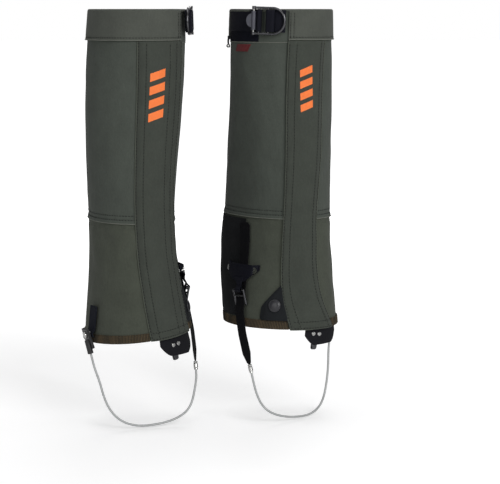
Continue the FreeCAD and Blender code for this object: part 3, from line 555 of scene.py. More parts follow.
# ---------------------------------------------------------------- stitching
def stitch_shape(segments=6, rings=5):
    """Unit capsule lying along its first axis, with blunt ends."""
    points = []
    for i in range(rings):
        latitude = -math.pi / 2 + math.pi * i / (rings - 1)
        radius = math.cos(latitude) if 0 < i < rings - 1 else 0.12
        for k in range(segments):
            turn = 2 * math.pi * k / segments
            points.append((math.sin(latitude), radius * math.cos(turn), radius * math.sin(turn)))
    faces = ring_quads(rings, segments)
    faces.append(list(range(segments))[::-1])
    faces.append([(rings - 1) * segments + k for k in range(segments)])
    return np.array(points), faces


STITCH_POINTS, STITCH_FACES = stitch_shape()


class Thread:
    """Gathers the stitches of one mesh."""

    def __init__(self, side):
        self.side = side
        self.points = []
        self.faces = []

    def run(self, path, normals, pitch, length, radius):
        """Stitches along a path in the leg frame."""
        along = arc_lengths(path)
        for middle in np.arange(pitch / 2, along[-1], pitch):
            centre = interp_rows(middle, along, path)
            tangent = unit(interp_rows(middle + length / 2, along, path)
                           - interp_rows(middle - length / 2, along, path))
            normal = unit(interp_rows(middle, along, normals))
            across = np.cross(normal, tangent)
            first = len(self.points) * len(STITCH_POINTS)
            self.points.append(centre + normal * (radius * 0.5 - 0.02)
                               + STITCH_POINTS[:, :1] * tangent * (length / 2)
                               + STITCH_POINTS[:, 1:2] * across * radius
                               + STITCH_POINTS[:, 2:3] * normal * radius * 0.8)
            self.faces += [[k + first for k in face] for face in STITCH_FACES]

    def sew(self, angles, z, offset, radius, pitch=4.0, length=2.3):
        """Stitches lying on the cloth at an offset from the leg."""
        self.run(cloth_points(self.side, angles, z, offset),
                 cloth_normals(self.side, angles, z), pitch, length, radius)

    def build(self, name):
        points = np.concatenate(self.points)
        return make_mesh(self.side, name, points, self.faces, np.zeros((len(points), 2)))


# ---------------------------------------------------------------- materials
def srgb(*channels):
    """Linear colour from 0-255 sRGB channels."""
    shares = [channel / 255.0 for channel in channels]
    return tuple(c / 12.92 if c <= 0.04045 else ((c + 0.055) / 1.055) ** 2.4
                 for c in shares) + (1.0,)


def shade(colour, factor):
    return tuple(min(1, channel * factor) for channel in colour[:3]) + (1.0,)


class Shader:
    """Node material built round its Principled BSDF."""

    def __init__(self, name):
        self.material = bpy.data.materials.new(name)
        self.material.use_nodes = True
        self.tree = self.material.node_tree
        self.bsdf = [n for n in self.tree.nodes if n.type == "BSDF_PRINCIPLED"][0]

    def node(self, kind, **settings):
        node = self.tree.nodes.new(kind)
        for key, value in settings.items():
            setattr(node, key, value)
        return node

    def link(self, output, target):
        self.tree.links.new(output, target)

    def surface(self, values):
        """Sets inputs of the BSDF, from numbers or from node outputs."""
        for key, value in values.items():
            if isinstance(value, bpy.types.NodeSocket):
                self.link(value, self.bsdf.inputs[key])
            else:
                self.bsdf.inputs[key].default_value = value

    def coords(self, kind):
        return self.node("ShaderNodeTexCoord").outputs[kind]

    def mapped(self, vector, key, value):
        node = self.node("ShaderNodeMapping")
        node.inputs[key].default_value = value
        self.link(vector, node.inputs["Vector"])
        return node.outputs[0]

    def noise(self, vector, scale, detail=3.0, roughness=0.6, stretch=None):
        if stretch:
            vector = self.mapped(vector, "Scale", stretch)
        node = self.node("ShaderNodeTexNoise")
        node.inputs["Scale"].default_value = scale
        node.inputs["Detail"].default_value = detail
        node.inputs["Roughness"].default_value = roughness
        self.link(vector, node.inputs["Vector"])
        return node.outputs["Fac"]

    def wave(self, vector, scale, direction, distortion, turn=0.0):
        if turn:
            vector = self.mapped(vector, "Rotation", (0, 0, math.radians(turn)))
        node = self.node("ShaderNodeTexWave", bands_direction=direction)
        node.inputs["Scale"].default_value = scale
        node.inputs["Distortion"].default_value = distortion
        self.link(vector, node.inputs["Vector"])
        return node.outputs["Fac"]

    def math(self, operation, *operands):
        node = self.node("ShaderNodeMath", operation=operation)
        for i, value in enumerate(operands):
            if isinstance(value, (int, float)):
                node.inputs[i].default_value = value
            else:
                self.link(value, node.inputs[i])
        return node.outputs[0]

    def scaled(self, value, factor):
        return self.math("MULTIPLY", value, factor)

    def ramp(self, factor, stops):
        node = self.node("ShaderNodeValToRGB")
        elements = node.color_ramp.elements
        while len(elements) < len(stops):
            elements.new(0.5)
        for i, (position, colour) in enumerate(stops):
            elements[i].position = position
            elements[i].color = colour
        self.link(factor, node.inputs[0])
        return node.outputs[0]

    def bump(self, height, strength, distance, below=None):
        node = self.node("ShaderNodeBump")
        node.inputs["Strength"].default_value = strength
        node.inputs["Distance"].default_value = distance
        self.link(height, node.inputs["Height"])
        if below is not None:
            self.link(below, node.inputs["Normal"])
        return node.outputs[0]


def woven(name, colour, rough=0.88, weave=0.00045, mottle=0.14, sheen=0.05, strength=0.35,
          specular=0.22):
    """Woven cloth: mottled colour, a fine crossing weave and soft unevenness."""
    shader = Shader(name)
    vector = shader.coords("UV")
    broad = shader.noise(vector, scale=38.0, detail=4.0)
    middle = shader.noise(vector, scale=420.0, stretch=(1.0, 0.6, 1.0))
    fine = shader.noise(vector, scale=2600.0, detail=2.0)
    mix = shader.math("ADD", shader.scaled(broad, 0.45), shader.scaled(middle, 0.35))
    mix = shader.math("ADD", mix, shader.scaled(fine, 0.20))
    thread_scale = 1.0 / (weave * 20.0)
    warp = shader.wave(vector, thread_scale, "X", distortion=0.4, turn=28.0)
    weft = shader.wave(vector, thread_scale * 0.8, "Y", distortion=0.6)
    height = shader.math("ADD", shader.scaled(warp, 0.6), shader.scaled(weft, 0.4))
    height = shader.math("ADD", height, shader.scaled(middle, 0.8))
    weave_bump = shader.bump(height, strength, distance=0.00012)
    uneven = shader.noise(vector, scale=120.0)
    shader.surface({
        "Base Color": shader.ramp(mix, [(0.36, shade(colour, 1 - mottle)),
                                        (0.64, shade(colour, 1 + mottle))]),
        "Roughness": rough,
        "Specular IOR Level": specular,
        "Sheen Weight": sheen,
        "Sheen Roughness": 0.6,
        "Normal": shader.bump(uneven, strength=0.30, distance=0.0006, below=weave_bump),
    })
    return shader.material


def ribbed(name, colour, rough=0.7, pitch=0.0013, axis="Y", mottle=0.16, strength=0.8,
           light=None, specular=0.12):
    """Ribs at a pitch in metres along one UV axis; light is the colour of the high spots."""
    shader = Shader(name)
    vector = shader.coords("UV")
    # a wave texture turns 20 radians per unit of scale; 6.2832 is one full turn
    ribs = shader.wave(vector, 1.0 / (pitch * 20.0) * 6.2832, axis, distortion=0.25)
    grain = shader.noise(vector, scale=1500.0)
    mix = shader.math("ADD", shader.scaled(ribs, 0.35), shader.scaled(grain, 0.65))
    height = shader.math("ADD", ribs, shader.scaled(grain, 0.5))
    shader.surface({
        "Base Color": shader.ramp(mix, [(0.30, shade(colour, 1 - mottle * 2)), (0.52, colour),
                                        (0.70, light or shade(colour, 1 + mottle))]),
        "Roughness": rough,
        "Specular IOR Level": specular,
        "Normal": shader.bump(height, strength, distance=0.0003),
    })
    return shader.material


def metal(name, colour, rough):
    """Metal with cloudy colour and a fine drawn grain."""
    shader = Shader(name)
    vector = shader.coords("Object")
    wear = 0.10     # roughness varies by this much either way
    cloud = shader.noise(vector, scale=260.0, detail=4.0)
    grain = shader.noise(vector, scale=700.0, detail=2.0, roughness=0.5,
                         stretch=(1.0, 1.0, 0.15))
    shader.surface({
        "Base Color": shader.ramp(cloud, [(0.35, shade(colour, 0.85)),
                                          (0.65, shade(colour, 1.1))]),
        "Metallic": 1.0,
        "Roughness": shader.math("ADD", shader.scaled(grain, wear * 2), rough - wear),
        "Normal": shader.bump(grain, strength=0.12, distance=0.00008),
    })
    return shader.material


def plastic(name, colour, rough, specular=0.5, grain_scale=900.0):
    shader = Shader(name)
    vector = shader.coords("Object")
    cloud = shader.noise(vector, scale=180.0)
    grain = shader.noise(vector, scale=grain_scale)
    shader.surface({
        "Base Color": shader.ramp(cloud, [(0.35, shade(colour, 0.9)),
                                          (0.65, shade(colour, 1.1))]),
        "Roughness": rough,
        "Specular IOR Level": specular,
        "Normal": shader.bump(grain, strength=0.1, distance=0.0001),
    })
    return shader.material


DULL = dict(rough=0.85, sheen=0.0)
MATERIALS = dict(
    upper=woven("leg_cloth", srgb(66, 71, 65)),
    flap=woven("flap_cloth", srgb(57, 61, 55)),
    band=woven("band_cloth", srgb(72, 75, 69)),
    lower=woven("ankle_cloth", srgb(65, 69, 60), weave=0.0006, mottle=0.16),
    black=woven("black_patch_cloth", srgb(28, 29, 31), weave=0.0008, strength=0.6, mottle=0.2,
                specular=0.1, **DULL),
    placket=woven("placket_cloth", srgb(24, 24, 28), specular=0.12, **DULL),
    tab=woven("snap_tab_cloth", srgb(29, 31, 33), specular=0.12, weave=0.0007, strength=0.5,
              **DULL),
    elastic=ribbed("hem_elastic_ribs", srgb(50, 46, 36), rough=0.9, pitch=0.0018, axis="X",
                   mottle=0.3, strength=0.7, light=srgb(86, 70, 48), specular=0.3),
    web=ribbed("webbing_ribs", srgb(17, 18, 27)),
    webthin=ribbed("instep_webbing_ribs", srgb(12, 12, 15), specular=0.1, pitch=0.0011),
    webside=ribbed("side_webbing_ribs", srgb(22, 25, 34), rough=0.75),
    tape=woven("hook_and_loop_pile", srgb(24, 24, 25), rough=0.98, weave=0.0009, strength=0.9,
               mottle=0.4),
    orange=woven("orange_print", srgb(238, 122, 62), rough=0.6, mottle=0.06, sheen=0.0,
                 strength=0.2),
    # the two lip colours are lighter than the cloth they edge: painted highlight along turned
    # edges
    highlight_lip=woven("lip_painted_highlight", srgb(98, 101, 93)),
    flap_highlight_lip=woven("flap_lip_painted_highlight", srgb(76, 80, 71)),
    # navy sheet showing below the buckle webbing: painted shadow under the webbing
    webbing_shadow=woven("navy_painted_shadow", srgb(16, 17, 25), rough=0.9, sheen=0.0, specular=0.1,
              mottle=0.2),
    red=woven("red_tab_weave", srgb(92, 30, 32), rough=0.8, mottle=0.18, strength=0.5),
    # near-black thread: the stitches are real, their dark colour also paints the shade in the
    # stitched channels
    thread=plastic("thread_with_painted_shade", srgb(15, 16, 15), rough=0.7, specular=0.3),
    gun=metal("gunmetal", srgb(92, 92, 95), rough=0.28),
    bright=metal("bright_steel", srgb(190, 190, 188), rough=0.26),
    snap=plastic("snap_cap_grey", srgb(38, 38, 42), rough=0.36),
    lever=plastic("lever_grey", srgb(66, 67, 76), rough=0.42),
    black_plastic=plastic("black_fitting", srgb(24, 24, 26), rough=0.36, specular=0.55),
    cable=plastic("cable_coating_grey", srgb(170, 172, 172), rough=0.35, grain_scale=1500.0),
)


# ---------------------------------------------------------------- attaching pieces
replaced_nodes = set()


def give(obj, material):
    obj.data.materials.clear()
    obj.data.materials.append(MATERIALS[material])


def replace(side, obj, *nodes):
    names = [f"{side}_{node}" for node in nodes]
    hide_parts(*names)
    replaced_nodes.update(names)


def piece(side, obj, body, material, slot=None, *nodes):
    """Gives a piece its material, the body it moves with, and the CAD nodes it stands for."""
    give(obj, material)
    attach(obj, f"{side}_{body}")
    if nodes:
        replace(side, obj, *nodes)


def blend_at_fold(side, obj):
    """Works out the fold's axis and a direction across it, which are not used, and bakes the
    piece's transform into its mesh.
    """
    bottom, top = (np.array([SIGN[side] * float(along_fold(FOLD_X[side], z)),
                             float(along_fold(FOLD_Y, z)), z]) for z in FOLD_Z)
    axis = unit(top - bottom)
    across = np.array([SIGN[side] * 1.0, 0.0, 0.0])
    across = unit(across - axis * axis.dot(across))
    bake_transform(obj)


# ---------------------------------------------------------------- shell cloth
def main_cloth(side):
    """Upper cloth, ankle cloth tucked under its bottom edge, and the black inner patch."""
    def start(z):
        return free_edge(side, z) - UNDERLAP

    def end(z):
        return 360 + fold_angle(side, z) + 3

    upper = fabric(side, "cloth_upper", start, end, UPPER_BOTTOM, 538.6, offset=-0.1, thick=1.0,
                   rows={"bottom": (5.2, 10.5)}, hems={"bottom": 4.2}, hem_rise=1.0)
    piece(side, upper, "shell", "upper", "leg_fabric", "upper_panel")

    def ankle_offset(angle, z):
        return -0.1 - 0.75 * smooth01((z - SEAM_Z + 7.0) / 5.0)
    ankle = fabric(side, "cloth_ankle", start, end, hem_line(side, 0.3), SEAM_Z + 3.0,
                   ankle_offset, thick=1.0, step_z=2.6, rows={"top": (9.0,)})
    piece(side, ankle, "shell", "lower", "panel_fabric", "lower_panel")

    double = (2.2, 8.0)
    patch = fabric(side, "patch_ankle", PATCH_START, PATCH_END, hem_line(side, 12.2),
                   SEAM_Z - 3.0, PATCH_OFFSET, thick=0.95, step=1.8, step_z=1.8, groove=0.3,
                   rows={"start": double, "end": double, "bottom": (2.2,), "top": double})
    piece(side, patch, "shell", "black", "black_fabric", "crampon_patch")


def band_end(side):
    return 360 + float(free_edge(side, 500.0))


def top_band(side):
    """Band round the top, the roll along its upper edge and the facing behind it."""
    band = fabric(side, "band_top", BAND_START, band_end(side), BAND_Z, TOP_Z - 0.4,
                  BAND_OFFSET, thick=2.2, step=2.2, step_z=1.6, hem_rise=0.35,
                  rows={"start": (2.2,), "end": (2.4, 7.0), "bottom": (3.4,)},
                  hems={"bottom": 2.2})
    piece(side, band, "shell", "band", "leg_fabric", "top_band")
    rim = cloth_points(side, np.linspace(0, 360, 181), TOP_Z - 0.7, 0.5)
    roll = tube(side, "band_roll", rim, 1.9, segments=12, capped=False)
    piece(side, roll, "shell", "band", "leg_fabric")
    facing = fabric(side, "band_facing", 0.0, 359.9, 512.0, TOP_Z - 0.6, offset=-1.25,
                    thick=0.8, step=3.0, rows={"bottom": (2.0,)})
    piece(side, facing, "shell", "upper", "leg_fabric")


# ---------------------------------------------------------------- front flap
def flap_offset(side, angle, z):
    return 1.5 + 2.2 * smooth01((angle - sewn_edge(side, z)) / 8.0)


def front_flap(side):
    """One sheet, sewn at its outer edge and free at its inner edge, with its stitches."""
    sewn, free = partial(sewn_edge, side), partial(free_edge, side)
    bottom, top = hem_line(side, -0.5), as_curve(500.8)
    flap = fabric(side, "cloth_flap", sewn, free, bottom, top, partial(flap_offset, side),
                  thick=1.25, step=1.7, step_z=2.4, hem_rise=FLAP_HEM_RISE, groove=0.42,
                  rows={"start": SEWN_ROWS, "end": FREE_ROWS[side], "bottom": FLAP_HEM_ROWS},
                  hems={"end": FREE_ROWS[side][-1] + 1.5, "bottom": 12.0})
    give(flap, "flap")
    blend_at_fold(side, flap)
    replace(side, flap, "front_flap", "flap_sewn_edge")

    thread = Thread(side)
    length = cloth_length(side, sewn, free, bottom, top)
    sink = 0.22

    def upright_row(share, rise):
        z = np.linspace(121.0, 498.5, 260)
        angles = sewn(z) + (free(z) - sewn(z)) * share
        above = z > hem_z(side, angles) + 2.0
        z, angles = z[above], angles[above]
        thread.sew(angles, z, flap_offset(side, angles, z) + rise - sink, radius=0.46)
    for row in SEWN_ROWS:
        upright_row(row / length, 0.0)
    for row in FREE_ROWS[side]:
        upright_row(1 - row / length, FLAP_HEM_RISE)
    for row in FLAP_HEM_ROWS:
        angles = np.linspace(float(sewn(125.0)) + 2, float(free(125.0)) - 2, 80)
        z = bottom(angles) + row
        thread.sew(angles, z, flap_offset(side, angles, z) + FLAP_HEM_RISE - sink, radius=0.46)
    stitches = thread.build("flap_stitches")
    give(stitches, "thread")
    blend_at_fold(side, stitches)


def print_bars(side):
    """Four plain slanted bars on the flap."""
    middle, width, low, high = PRINT[side]
    count = 4
    slant = 7.0
    pitch = (high - low) / count

    def slanted(base):
        return lambda angle: base + (np.asarray(angle, float) - middle) / width \
            * slant * SIGN[side]
    for i in range(count):
        base = low + i * pitch
        bar = fabric(side, f"print_bar_{i}", middle - width / 2 + 0.5, middle + width / 2 - 0.5,
                     slanted(base), slanted(base + pitch * 0.62), offset=3.86, thick=0.22,
                     step=1.5, step_z=1.5, edge=0.25)
        piece(side, bar, "flap", "orange")


def closure(side):
    """Hook and loop tapes behind the free edge, the placket and its tongue."""
    free, fold = partial(free_edge, side), partial(fold_angle, side)
    for name, offset, thick, body, node in (
            ("tape_hook", 2.2, 0.75, "flap", "flap_hook_tape"),
            ("tape_loop", 0.85, 0.7, "shell", "panel_loop_tape")):
        tape = fabric(side, name, lambda z: free(z) - 19, lambda z: free(z) - 3,
                      hem_line(side, 30.0), BAND_Z - 12, offset, thick, step=2.5, step_z=4.0)
        piece(side, tape, body, "tape", "hook_and_loop", node)
    placket = fabric(side, "cloth_placket", lambda z: fold(z) - 4, lambda z: free(z) - 15,
                     hem_line(side, 10.0), BAND_Z - 6, offset=-1.6, thick=0.9, step=2.5,
                     step_z=4.0)
    piece(side, placket, "shell", "placket", "black_fabric", "under_placket")

    middle, full_half, low = TONGUE[side]

    def half(z):
        return full_half * (0.5 + 0.5 * ramp01((np.asarray(z, float) - low) / 13.0) ** 0.6)
    tongue = fabric(side, "cloth_tongue", lambda z: middle - half(z), lambda z: middle + half(z),
                    low, 143.0, offset=-2.1, thick=1.1, step=1.4, step_z=1.3, wrinkles=0.4,
                    groove=0.25, rows={"start": (1.8,), "end": (1.8,), "bottom": (1.8,)})
    piece(side, tongue, "shell", "placket", "black_fabric")


# ---------------------------------------------------------------- hem and small tabs
def hem_elastic(side):
    """Ribbed elastic binding round the hem, outside the flap."""
    def ribs(angle, from_bottom):
        arc = np.radians(angle) * 76.0
        waves = np.sin(2 * np.pi * arc / 13.0 + 1.3 * np.sin(arc / 31.0))
        return (0.26 * np.sin(2 * np.pi * arc / 2.3)
                + 0.12 * waves * smooth01((9.0 - from_bottom) / 6.0))
    elastic = fabric(side, "hem_ribs", lambda z: free_edge(side, z) + 0.8,
                     lambda z: 360 + sewn_edge(side, z) - 0.8, hem_line(side, 0.0),
                     hem_line(side, 11.0), offset=1.7, thick=1.4, step=0.62, step_z=1.2,
                     rows={"top": (1.4,)}, groove=0.3, relief=ribs, edge=0.9)
    piece(side, elastic, "shell", "elastic", "hem_elastic", "hem_elastic")


# snap cap profile: (radius, height off the leg) from the crown over the rim to the base
SNAP_PROFILE = [
    (0, 7.42), (1.5, 7.40), (3.0, 7.30), (4.4, 7.08), (5.6, 6.72), (6.5, 6.28), (6.9, 6.02),
    (7.05, 5.95), (7.25, 6.05), (7.6, 6.12), (7.95, 6.0), (8.2, 5.6), (8.2, 5.15), (8.0, 4.85),
    (7.6, 4.75), (0, 4.75),
]


def snap_tab(side):
    """Tab across the flap's free edge near the hem, with its snap cap."""
    def offset(angle, z):
        past = smooth01((angle - (65.5 - 15.0 * ramp01((z - 160.0) / 23.0))) / 7.0)
        ends = np.maximum(smooth01((z - 176.0) / 7.0), smooth01((141.0 - z) / 4.0))
        return 4.35 - 2.3 * past - 0.5 * ends * (1 - past)

    def end(z):
        return (72.5 - 1.2 * smooth01((140.0 - z) / 3.0)
                - 18.5 * ramp01((z - 153.0) / 30.0) ** 1.15)
    tab = fabric(side, "cloth_snap_tab", lambda z: free_edge(side, z) - 0.6, end, 137.3, 182.6,
                 offset, thick=1.1, step=1.0, step_z=1.0, rows={"bottom": (2.0,)}, groove=0.25)
    piece(side, tab, "snap_tab", "tab", "panel_fabric", "snap_tab")
    cap = lathe(side, "snap_dome", seat(side, 57.8, 156.0), SNAP_PROFILE)
    piece(side, cap, "snap_tab", "snap", "dark_plastic", "snap_cap")


def side_tab_angle(base):
    return lambda z: base - (z - SIDE_TAB_Z) * SIDE_TAB_LEAN


def side_tab(side):
    """Small red tab on the inner side below the band."""
    tab = fabric(side, "cloth_side_tab", side_tab_angle(87.0), side_tab_angle(109.0), SIDE_TAB_Z,
                 496.0, offset=1.15, thick=0.85, step=1.2, step_z=1.2, groove=0.15,
                 rows={"start": (1.5,), "end": (1.5,)})
    piece(side, tab, "shell", "red", "red_label", "side_tab")


# ---------------------------------------------------------------- webbing and cord at the top
def top_webbing(side):
    """Two webbing loops round the top buckle's wires.

    Paths are pairs in the buckle's seat: towards the front of the leg, and off the leg.
    """
    frame = seat(side, BUCKLE_ANGLE, BUCKLE_Z)
    forward = -SIGN[side]
    under, over = BUCKLE_PLANE - WEB_BEND, BUCKLE_PLANE + WEB_BEND

    def bend(centre, angles):
        return [(centre + WEB_BEND * math.cos(math.radians(a)),
                 BUCKLE_PLANE + WEB_BEND * math.sin(math.radians(a))) for a in angles]

    def web(name, path):
        points = [on_seat(frame, forward * along, 0.0, off) for along, off in path]
        return bent_strip(side, name, points, frame[2], TOP_WEB_WIDTH, 1.4, columns=15)

    strap_path = [(26.0, under), (18.0, under), (10.0, under), (3.2, under)]
    strap_path += bend(3.2, range(-75, -271, -15))
    strap_path += [(5.0, over), (7.0, over)]
    strap_path += bend(8.7, range(90, -61, -15))
    piece(side, web("web_top_strap", strap_path), "top_strap", "web", "webbing", "top_strap")

    anchor_path = []
    for angle in (132, 124, 116, 108, 100, 94):
        gap = leg(side, angle, BUCKLE_Z, 1.1) - frame[0]
        anchor_path.append((forward * gap.dot(frame[1]), gap.dot(frame[3])))
    along, off = anchor_path[-1]
    anchor_path += [(along + 5.0, off + 1.8), (-9.5 - 2.0, under - 0.2), (-9.5, under)]
    anchor_path += bend(-9.5, range(-75, 226, 15))
    piece(side, web("web_anchor", anchor_path), "shell", "web", "webbing", "strap_anchor")


def cord_pull(side):
    """Short hanging cord with a bright bead at its end."""
    frame = seat(side, 127.0, 506.0, 3.6)
    drop = np.linspace(0, -12.0, 26)
    path = [on_seat(frame, 0.25 * math.sin(y * 0.9), y, 0.2 * math.sin(y * 0.7)) for y in drop]
    cord = tube(side, "cord", path, 1.25 + 0.1 * np.sin(drop * 5.0), segments=12)
    piece(side, cord, "cord_pull", "web", "webbing", "cord_pull")
    # bead stations: (place down the cord, radius)
    bead_stations = ((-10.6, 1.3), (-11.0, 2.0), (-12.0, 2.5), (-13.0, 2.6), (-14.0, 2.5),
                     (-15.0, 2.0), (-15.4, 1.3))
    bead = tube(side, "cord_end", [on_seat(frame, 0, y, 0) for y, _ in bead_stations],
                [radius for _, radius in bead_stations], segments=18)
    piece(side, bead, "cord_pull", "bright", "bright_metal")


# ---------------------------------------------------------------- instep strap and its tabs
def instep_frame(side):
    """Ends of the strap's straight run, its up, outward and across directions, and the
    centre of the ladder buckle's top bar."""
    s = SIGN[side]
    upper = np.array([leg(side, 98.0, 215.0)[0] + s * 4.6, 12.0, 215.0])
    lower = np.array([leg(side, 97.0, 145.0)[0] + s * 7.6, 5.0, 145.0])
    along = unit(upper - lower)
    across = unit(np.array([0, 1.0, 0]) - along * along[1])
    outward = np.cross(across, along)
    if outward[0] * s < 0:
        outward = -outward
    # the ladder plate turns about its width axis
    tilt = math.radians(LADDER_TILT)
    ladder_up = along * math.cos(tilt) + outward * math.sin(tilt)
    bar = lower + along * 16.0 + ladder_up * 13.5
    return upper, lower, along, outward, across, bar


def instep_strap(side):
    """Strap down the inner side of the ankle and in under the foot."""
    s = SIGN[side]
    upper, lower, _, outward, across, _ = instep_frame(side)
    x = lower[0]
    # centre, width, face normal, width direction
    stations = [
        ((leg(side, 100.0, 262.0)[0] + s * 4.6, 14.0, 262.0), 19.0, (s, 0.25, 0.02), (0, 1, 0)),
        ((leg(side, 99.0, 238.0)[0] + s * 4.4, 13.0, 238.0), 18.0, (s, 0.22, 0.05), (0, 1, 0)),
        (upper, 15.0, outward, across),
        (lower, 15.0, outward, across),
        ((x + s * 3.0, -3.0, 118.0), 15.0, (s, -0.05, 0.1), (0, 1, -0.25)),
        ((x + s * 3.6, -12.0, 92.0), 15.0, (s, -0.1, 0.02), (0, 1, -0.3)),
        ((x + s * 3.2, -16.0, 80.0), 7.4, (s, -0.1, 0.0), (0, 1, -0.3)),
        ((x + s * 3.1, -17.4, 76.7), 3.6, (s, -0.1, 0.0), (0, 1, -0.3)),
    ]
    centres, widths, normals, directions = (np.array(column, float) for column in zip(*stations))
    knots = arc_lengths(centres)
    along = path_steps(knots[-1])
    path = soften(interp_rows(along, knots, centres), 4)
    path[0] = centres[0]
    path[-1] = centres[-1]
    # the top end swells to a rounded wide tail, then narrows to the strap
    tail = np.interp(along, [0, 1.2, 3.0, 26.0, 28.5], [11.0, 15.5, 18.6, 18.2, 14.0])
    width = np.where(along < knots[1] + 4.0, tail, np.interp(along, knots, widths))
    strap = strip(side, "web_instep", path, soften(interp_rows(along, knots, unit(normals)), 5),
                  soften(interp_rows(along, knots, unit(directions)), 5), width, 1.35, columns=9)
    piece(side, strap, "stirrup_loop", "webthin", "webbing", "instep_strap")


def instep_tab(side):
    """Webbing tab above the ladder buckle, widening upward."""
    def widening(z):
        return ramp01((np.asarray(z, float) - 184.0) / 16.0)

    def offset(angle, z):
        return 3.2 + 6.3 * smooth01(np.minimum(angle - 80.0, 114.5 - angle) / 4.5)
    tab = fabric(side, "web_instep_tab", lambda z: 92.0 - 13.5 * widening(z),
                 lambda z: 102.0 + 16.5 * widening(z), 184.0, 207.0, offset, thick=1.4,
                 step=1.0, step_z=1.0, groove=0.2, wrinkles=0.0,
                 rows={"start": (1.8,), "end": (1.8,), "top": (2.0, 17.5)})
    piece(side, tab, "shell", "web", "webbing", "instep_tab")


def ladder_webbing(side):
    """Link from the instep tab down to the ladder buckle, and the loop round its top bar."""
    _, _, along, outward, across, bar = instep_frame(side)
    narrow, bend = 9.4, 2.75
    low = bar + along * 6.0
    high = leg(side, 97.0, 190.0, 8.6)
    leg_outward = unit(leg(side, 97.0, 190.0, 10.0) - leg(side, 97.0, 190.0, 0.0))
    share = np.linspace(0, 1, 12)[:, None]
    link = strip(side, "web_link", low + (high - low) * share,
                 outward * (1 - share) + leg_outward * share, np.tile(across, (12, 1)),
                 np.interp(share[:, 0], [0, 0.25, 1.0], [narrow, narrow, 17.0]), 1.5, columns=7)
    piece(side, link, "shell", "web", "webbing")
    tail = bar + along * 6.2
    turns = np.radians(range(40, 321, 14))
    loop_path = [tail, *(bar + along * bend * math.cos(turn) + outward * bend * math.sin(turn)
                         for turn in turns), tail]
    loop = bent_strip(side, "web_bar_loop", loop_path, across, narrow, 1.2, columns=7)
    piece(side, loop, "shell", "web", "webbing")


def outer_tab(side):
    """Webbing tab on the outer side, ending at the fitting below it."""
    bar = instep_frame(side)[-1]
    fitting = np.array([-SIGN[side] * 70.0, -25.0, 124.0])
    outward = -unit(bar - fitting)
    up = np.cross(outward, unit(np.cross(np.array([0, 0, 1.0]), outward)))
    frame = seat(side, OUTER_TAB_ANGLE, 145.0)
    behind = fitting - outward * 1.6
    centres = [leg(side, OUTER_TAB_ANGLE, z, OUTER_TAB_OFFSET)
               for z in (160.0, 150.0, 140.0, 130.0)]
    centres += [behind, behind - up * 5.5]
    normals = unit([frame[3]] * 4 + [outward] * 2)
    knots = arc_lengths(centres)
    along = path_steps(knots[-1])
    tab = strip(side, "web_side_tab", interp_rows(along, knots, centres),
                interp_rows(along, knots, normals), np.tile(frame[1], (len(along), 1)), 17.6,
                1.5, columns=11)
    piece(side, tab, "shell", "webside", "webbing", "lateral_tab")


# ---------------------------------------------------------------- painted highlight lips, painted shadow sheet and shell stitches
def edge_highlight_lips(side):
    """Thin rolled lips along turned edges, coloured lighter than their cloth: painted highlight
    where the edges catch the light.
    """
    free, sewn, fold = (partial(edge, side) for edge in (free_edge, sewn_edge, fold_angle))
    seam_angles = np.linspace(float(fold(SEAM_Z)) + 363.0 - 0.5,
                              float(free(SEAM_Z)) - (UNDERLAP - 1.0), 300)
    free_z = np.linspace(float(hem_z(side, float(free(124.0)))) + 1.0, 500.0, 260)
    sewn_z = np.linspace(float(hem_z(side, float(sewn(124.0)))) + 1.0, 500.0, 260)
    hem_angles = np.linspace(float(fold(124.0)) + 5.0, float(free(124.0)) - 0.6, 90)
    # name, angles, heights, offset, radius, material, body
    highlight_lips = (
        ("highlight_lip_band", np.linspace(BAND_START + 0.3, band_end(side) - 0.3, 300), BAND_Z + 0.45,
         2.75, 0.62, "highlight_lip", "shell"),
        ("highlight_lip_seam", seam_angles, SEAM_Z + 0.1, 0.75, 0.62, "highlight_lip", "shell"),
        ("highlight_lip_medial", np.linspace(float(free(499.0)) + 1.0, BAND_START + 0.5, 90), 498.6,
         0.25, 0.55, "highlight_lip", "shell"),
        ("highlight_lip_flap_free", free(free_z) - 0.35, free_z, 3.55, 0.5, "flap_highlight_lip", "flap"),
        ("highlight_lip_flap_sewn", sewn(sewn_z) + 0.35, sewn_z, 1.25, 0.5, "flap_highlight_lip", "shell"),
        ("highlight_lip_flap_hem", hem_angles, hem_z(side, hem_angles, -0.2), 3.5, 0.5, "flap_highlight_lip", "flap"),
    )
    for name, angles, z, offset, radius, material, body in highlight_lips:
        highlight_lip = tube(side, name, cloth_points(side, angles, z, offset), radius, segments=8)
        piece(side, highlight_lip, body, material, "leg_fabric")


def buckle_shadow_sheet(side):
    """Dark navy sheet behind the buckle webbing, showing below it: painted shadow under the
    webbing.
    """
    webbing_shadow = fabric(side, "shadow_sheet_buckle", 73.5, 133.4, 499.3, 538.9, offset=0.42, thick=0.4,
                 step=2.0, step_z=2.0, edge=0.3)
    piece(side, webbing_shadow, "shell", "webbing_shadow", "black_fabric")


